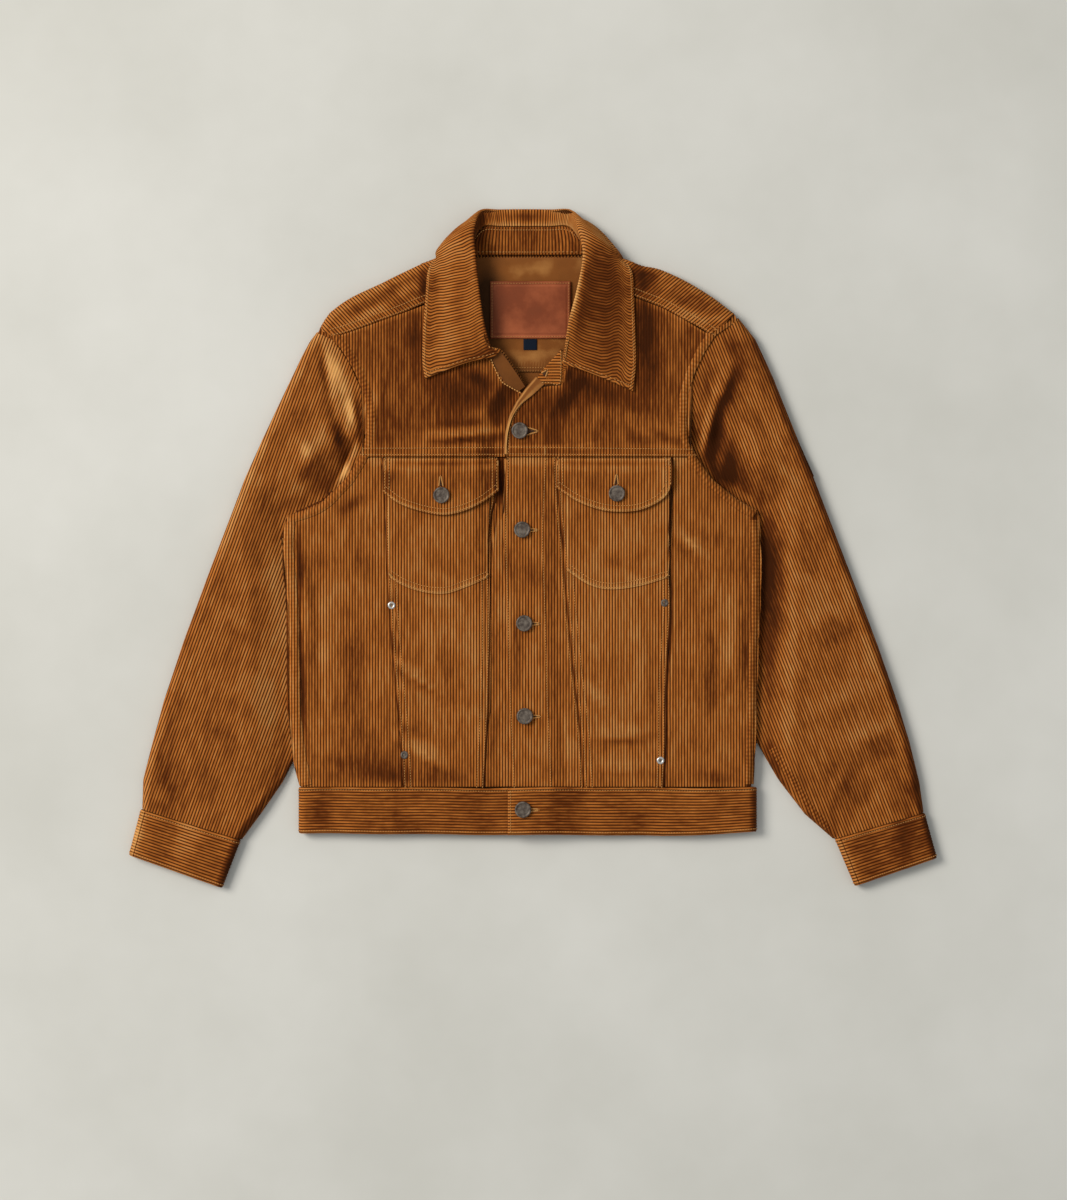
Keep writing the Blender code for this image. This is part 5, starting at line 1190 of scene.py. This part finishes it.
lines += [(level_line(end, STAND_LENGTH - end, y), stand_at) for end, y in ((40, STAND_DEPTH - 4), (12, 3.5))]
sewn("stitching_collar", lines)
sewn("stitching_shoulders", [(beside(seam, gap), lay) for seam, lay in SHOULDER_SEAMS for gap in (-1.8, -8.2)])
lines = [(level_line(3, WAIST_LENGTH - 3, y, 160), waist_at) for y in (3.4, 48.6)]
lines += [([(3.4, y) for y in (4, 25, 48)], waist_at)]
lines += [(level_line(2, CUFF_ROUND - 4, y), lay) for lay in CUFF_LAYS for y in (3.2, 48.8)]
sewn("stitching_bands", lines)
sewn("stitching_facing", [([(-146.3, y), (-3.3, middle), (135.3, y)], on_facing())
                          for y, middle in ((199.8, 199.2), (195.9, 195.5))], thick=0.3)
patch_x, patch_y = (-45.1, -3.3, 39.6), (233.3, 261.9, 291.6)
sewn("stitching_patch", [([(x, y) for x in patch_x], patch_at) for y in patch_y[::2]]
     + [([(x, y) for y in patch_y], patch_at) for x in patch_x[::2]], thick=0.3)


# ---------------------------------------------------------------- buttonholes and bar tacks
# Keyhole buttonholes, worked over and over in the same thread on both sides of the cut, with a bar
# tack at the end. Short bars of close stitches also hold the ends of the seams.
# The material of the cut: raw edges in their own shadow, dull and dark, with lint of 0.7 mm.
DARK_CUT, tree, shader = finish_named("cut_edge_in_shadow")
lint = add(tree, "TexNoise", {"Scale": 1500.0}, Vector=add(tree, "TexCoord").outputs["Object"])
raw = add(tree, "ValToRGB", {"stops": [(0, "#2A1406"), (1, "#54300F")]}, Fac=lint)
feed(tree, shader, {"Roughness": 0.95}, Base_Color=raw)
worked, slits = bmesh.new(), bmesh.new()
PURL, TACK = 0.75, 0.7    # from one worked stitch to the next, of a buttonhole and of a bar tack


def stitch_bar(bm, place, x, y, proud, turn, long, wide, thick):
    """One short bar on the cloth at x, y."""
    z = place(np.array([x]), np.array([y]))[2][0] + proud
    size = Matrix.Diagonal((long / 2 * MM, wide / 2 * MM, thick * MM, 1))
    where = Matrix.Translation((x * MM, y * MM, z * MM)) @ Matrix.Rotation(math.radians(turn), 4, "Z") @ size
    bmesh.ops.create_icosphere(bm, subdivisions=1, radius=1, matrix=where)


def buttonhole(x, y, turn, reach, place, spread=3.4):
    """From the button at x, y out to reach; the sides close to a point where the tack is."""
    c, s = math.cos(math.radians(turn)), math.sin(math.radians(turn))
    for k in range(int(reach / PURL)):
        u = 0.4 + k * PURL
        gap = spread * (1 - u / reach) + 0.75
        for way in (-1, 1):
            stitch_bar(worked, place, x + c * u - s * gap * way, y + s * u + c * gap * way, 0.4,
                       turn + 90 - way * 14, 2.1, 0.9, 0.55)
    stitch_bar(worked, place, x + c * (reach + 0.6), y + s * (reach + 0.6), 0.4, turn, 1.6, 1.1, 0.5)
    for k in range(8):
        u = reach * (k + 0.5) / 8
        stitch_bar(slits, place, x + c * u, y + s * u, 0, turn, reach / 5, 2 * spread * (1 - u / reach) + 0.5, 0.2)


def bar_tack(ax, ay, bx, by, place):
    turn, length = math.degrees(math.atan2(by - ay, bx - ax)), math.hypot(bx - ax, by - ay)
    for k in range(int(length / TACK) + 1):
        u = k * TACK / length
        stitch_bar(worked, place, ax + (bx - ax) * u, ay + (by - ay) * u, 0.4, turn + 90, 1.8, 0.75, 0.45)


flap_l, flap_r, pocket_l, pocket_r = flap_rise(-1), flap_rise(1), on_panel(-1, 1.9), on_panel(1, 1.9)
buttonhole(11.6, 189.9, 50, 6.5, level(19.6), 2.2)
buttonhole(-6.6, 128.4, 0, 11.5, yoke_r)
for x, y, place in ((-4.4, 19.7, flat_r), (-2.1, -83.2, flat_r), (-1.5, -185.1, flat_r), (-3.5, -287.6, level(18.3))):
    buttonhole(x, y, 0, 9.5, place, 0.9)
buttonhole(-100.9, 67.8, 92, 10.5, flap_l, 1.6)
buttonhole(91.3, 69.7, 88, 10.5, flap_r, 1.6)
for row in ((-187.0, 110.7, -187.0, 101.3, yoke_l), (13.2, 111.8, 13.2, 101.9, yoke_r),
            (-162.8, 95.8, -162.8, 90.3, flap_l), (-38.5, 95.8, -38.5, 90.3, flap_l),
            (27.0, 95.8, 27.0, 90.3, flap_r), (149.1, 95.8, 149.1, 90.3, flap_r),
            (-158.4, -27.4, -154.0, -32.3, pocket_l), (-49.5, -28.5, -52.8, -32.9, pocket_l),
            (38.0, -21.9, 41.8, -26.3, pocket_r), (148.5, -28.5, 144.7, -32.9, pocket_r)):
    bar_tack(*row)
put_on("worked_buttonholes", meshed("worked_buttonholes", worked), (THREAD,))
put_on("buttonhole_cuts", meshed("buttonhole_cuts", slits), (DARK_CUT,))


# ---------------------------------------------------------------- buttons and rivets
# Shank buttons of oxidised brass, pressed and blackened, with a raised rim and a grained, bare face.
# Burr rivets of nickel and of the same dark metal stay the stress points of the pocket seams.
# Blackened brass is a dull grey brown, paler in patches of 4 mm, with a pitted grain of about 1 mm.
GUNMETAL, tree, shader = finish_named("blackened_brass_pressed")
space = add(tree, "TexCoord").outputs["Object"]
pits = add(tree, "TexNoise", {"Scale": 1100.0, "Detail": 3.0, "Roughness": 0.7}, Vector=space)
worn = add(tree, "TexNoise", {"Scale": 260.0, "Detail": 2.0}, Vector=space)
patina = add(tree, "ValToRGB", {"stops": [(0.35, "#4A3F37"), (0.68, "#74695D")]}, Fac=worn)
grain = add(tree, "Bump", {"Strength": 0.45, "Distance": 0.0002}, Height=pits)
feed(tree, shader, {"Metallic": 0.6, "Roughness": 0.6}, Base_Color=patina, Normal=grain)
# Nickel plate: nearly white and half polished, rubbed unevenly in spots of about 1 mm.
NICKEL, tree, shader = finish_named("nickel_plated_brass")
rub = add(tree, "TexNoise", {"Scale": 900.0, "Detail": 3.0}, Vector=add(tree, "TexCoord").outputs["Object"])
plate = add(tree, "ValToRGB", {"stops": [(0, "#B9B4AC"), (1, "#E6E2DA")]}, Fac=rub)
feed(tree, shader, {"Metallic": 0.9, "Roughness": 0.33}, Base_Color=plate)
# radius, height, from the middle of the face down to the shank
BUTTON = [(0, 3.55), (2.0, 3.6), (5.4, 3.75), (6.3, 3.6), (6.75, 3.75), (7.1, 4.15), (7.7, 4.3), (8.3, 4.2),
          (8.8, 3.8), (9.0, 3.3), (8.8, 2.8), (8.2, 2.5), (4.2, 2.1), (4.0, 0.1), (0, 0.1)]
RIVET = [(0, 1.0), (1.2, 1.05), (1.7, 0.85), (1.95, 1.2), (2.4, 1.7), (3.0, 1.8), (3.7, 1.55), (4.2, 1.0),
         (4.4, 0.4), (4.2, 0.05), (0, 0.05)]


def turned(node, profile, mats, core=0.0):
    """A profile spun round, in the place of its solid. Inside the radius core it has the second material."""
    low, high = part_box(node)
    bm = bmesh.new()
    verts = [bm.verts.new((r * MM, 0, z * MM)) for r, z in profile]
    edges = [bm.edges.new(pair) for pair in zip(verts, verts[1:])]
    bmesh.ops.spin(bm, geom=verts + edges, cent=(0, 0, 0), axis=(0, 0, 1), dvec=(0, 0, 0), angle=2 * math.pi,
                   steps=40, use_merge=True, use_duplicate=False)
    bmesh.ops.remove_doubles(bm, verts=bm.verts, dist=0.00001)
    bmesh.ops.recalc_face_normals(bm, faces=bm.faces)
    for face in bm.faces:
        middle = face.calc_center_median()
        face.material_index = int(math.hypot(middle.x, middle.y) < core * MM)
    bmesh.ops.translate(bm, verts=bm.verts, vec=((low[0] + high[0]) / 2, (low[1] + high[1]) / 2, low[2]))
    put_on(f"{node}_turned", meshed(f"{node}_turned", bm), mats, [node])


for node in ("button_1", "button_2", "button_3", "button_4", "button_5", "flap_button_left", "flap_button_right"):
    turned(node, BUTTON, [GUNMETAL])
for node in ("rivet_left_upper", "rivet_right_lower"):
    turned(node, RIVET, [NICKEL, GUNMETAL], core=1.5)
for node in ("rivet_left_lower", "rivet_right_upper"):
    turned(node, RIVET, [GUNMETAL])


# ---------------------------------------------------------------- floor, light and camera
# A pale plastered floor, one wide soft light from the upper left, and a camera straight overhead.
# The plaster is nearly white and dull, with faint clouds of about half a metre where it dried unevenly.
FLOOR, tree, shader = finish_named("pale_plaster_floor")
wash = add(tree, "TexNoise", {"Scale": 2.2, "Detail": 5.0, "Roughness": 0.6},
           Vector=add(tree, "TexCoord").outputs["Object"])
plaster = add(tree, "ValToRGB", {"stops": [(0.35, "#C6C4BB"), (0.65, "#D2D0C8")]}, Fac=wash)
feed(tree, shader, {"Roughness": 0.9}, Base_Color=plaster)
bm = bmesh.new()
bmesh.ops.create_grid(bm, x_segments=1, y_segments=1, size=4)
mesh = meshed("floor", bm)
mesh.materials.append(FLOOR)
floor = bpy.data.objects.new("floor", mesh)
floor.location.z = -0.0012
bpy.context.scene.collection.objects.link(floor)

key = bpy.data.lights.new("key", "AREA")
key.shape, key.size, key.size_y, key.energy = "RECTANGLE", 2.8, 2.8, 368
key.color = (1.0, 0.97, 0.93)
lamp = bpy.data.objects.new("key", key)
lamp.location = (-4.3, 1.9, 4.3)
lamp.rotation_euler = (-lamp.location).to_track_quat("-Z", "Y").to_euler()
bpy.context.scene.collection.objects.link(lamp)
world = bpy.data.worlds.new("soft room")
world.use_nodes = True
feed(world.node_tree, world.node_tree.nodes["Background"], {"Color": linear("#E8ECEF"), "Strength": 0.56})
bpy.context.scene.world = world

LENS, SENSOR, SEEN = 85, 36, 1.320    # mm, mm, and the width that the camera takes in, in m
camera_data = bpy.data.cameras.new("camera")
camera_data.lens, camera_data.sensor_width, camera_data.clip_end = LENS, SENSOR, 20
camera = bpy.data.objects.new("camera", camera_data)
camera.location = (0.0006, -0.0571, SEEN / SENSOR * LENS + 0.012)
bpy.context.scene.collection.objects.link(camera)
bpy.context.scene.camera = camera
bpy.context.scene.view_settings.view_transform = "Standard"
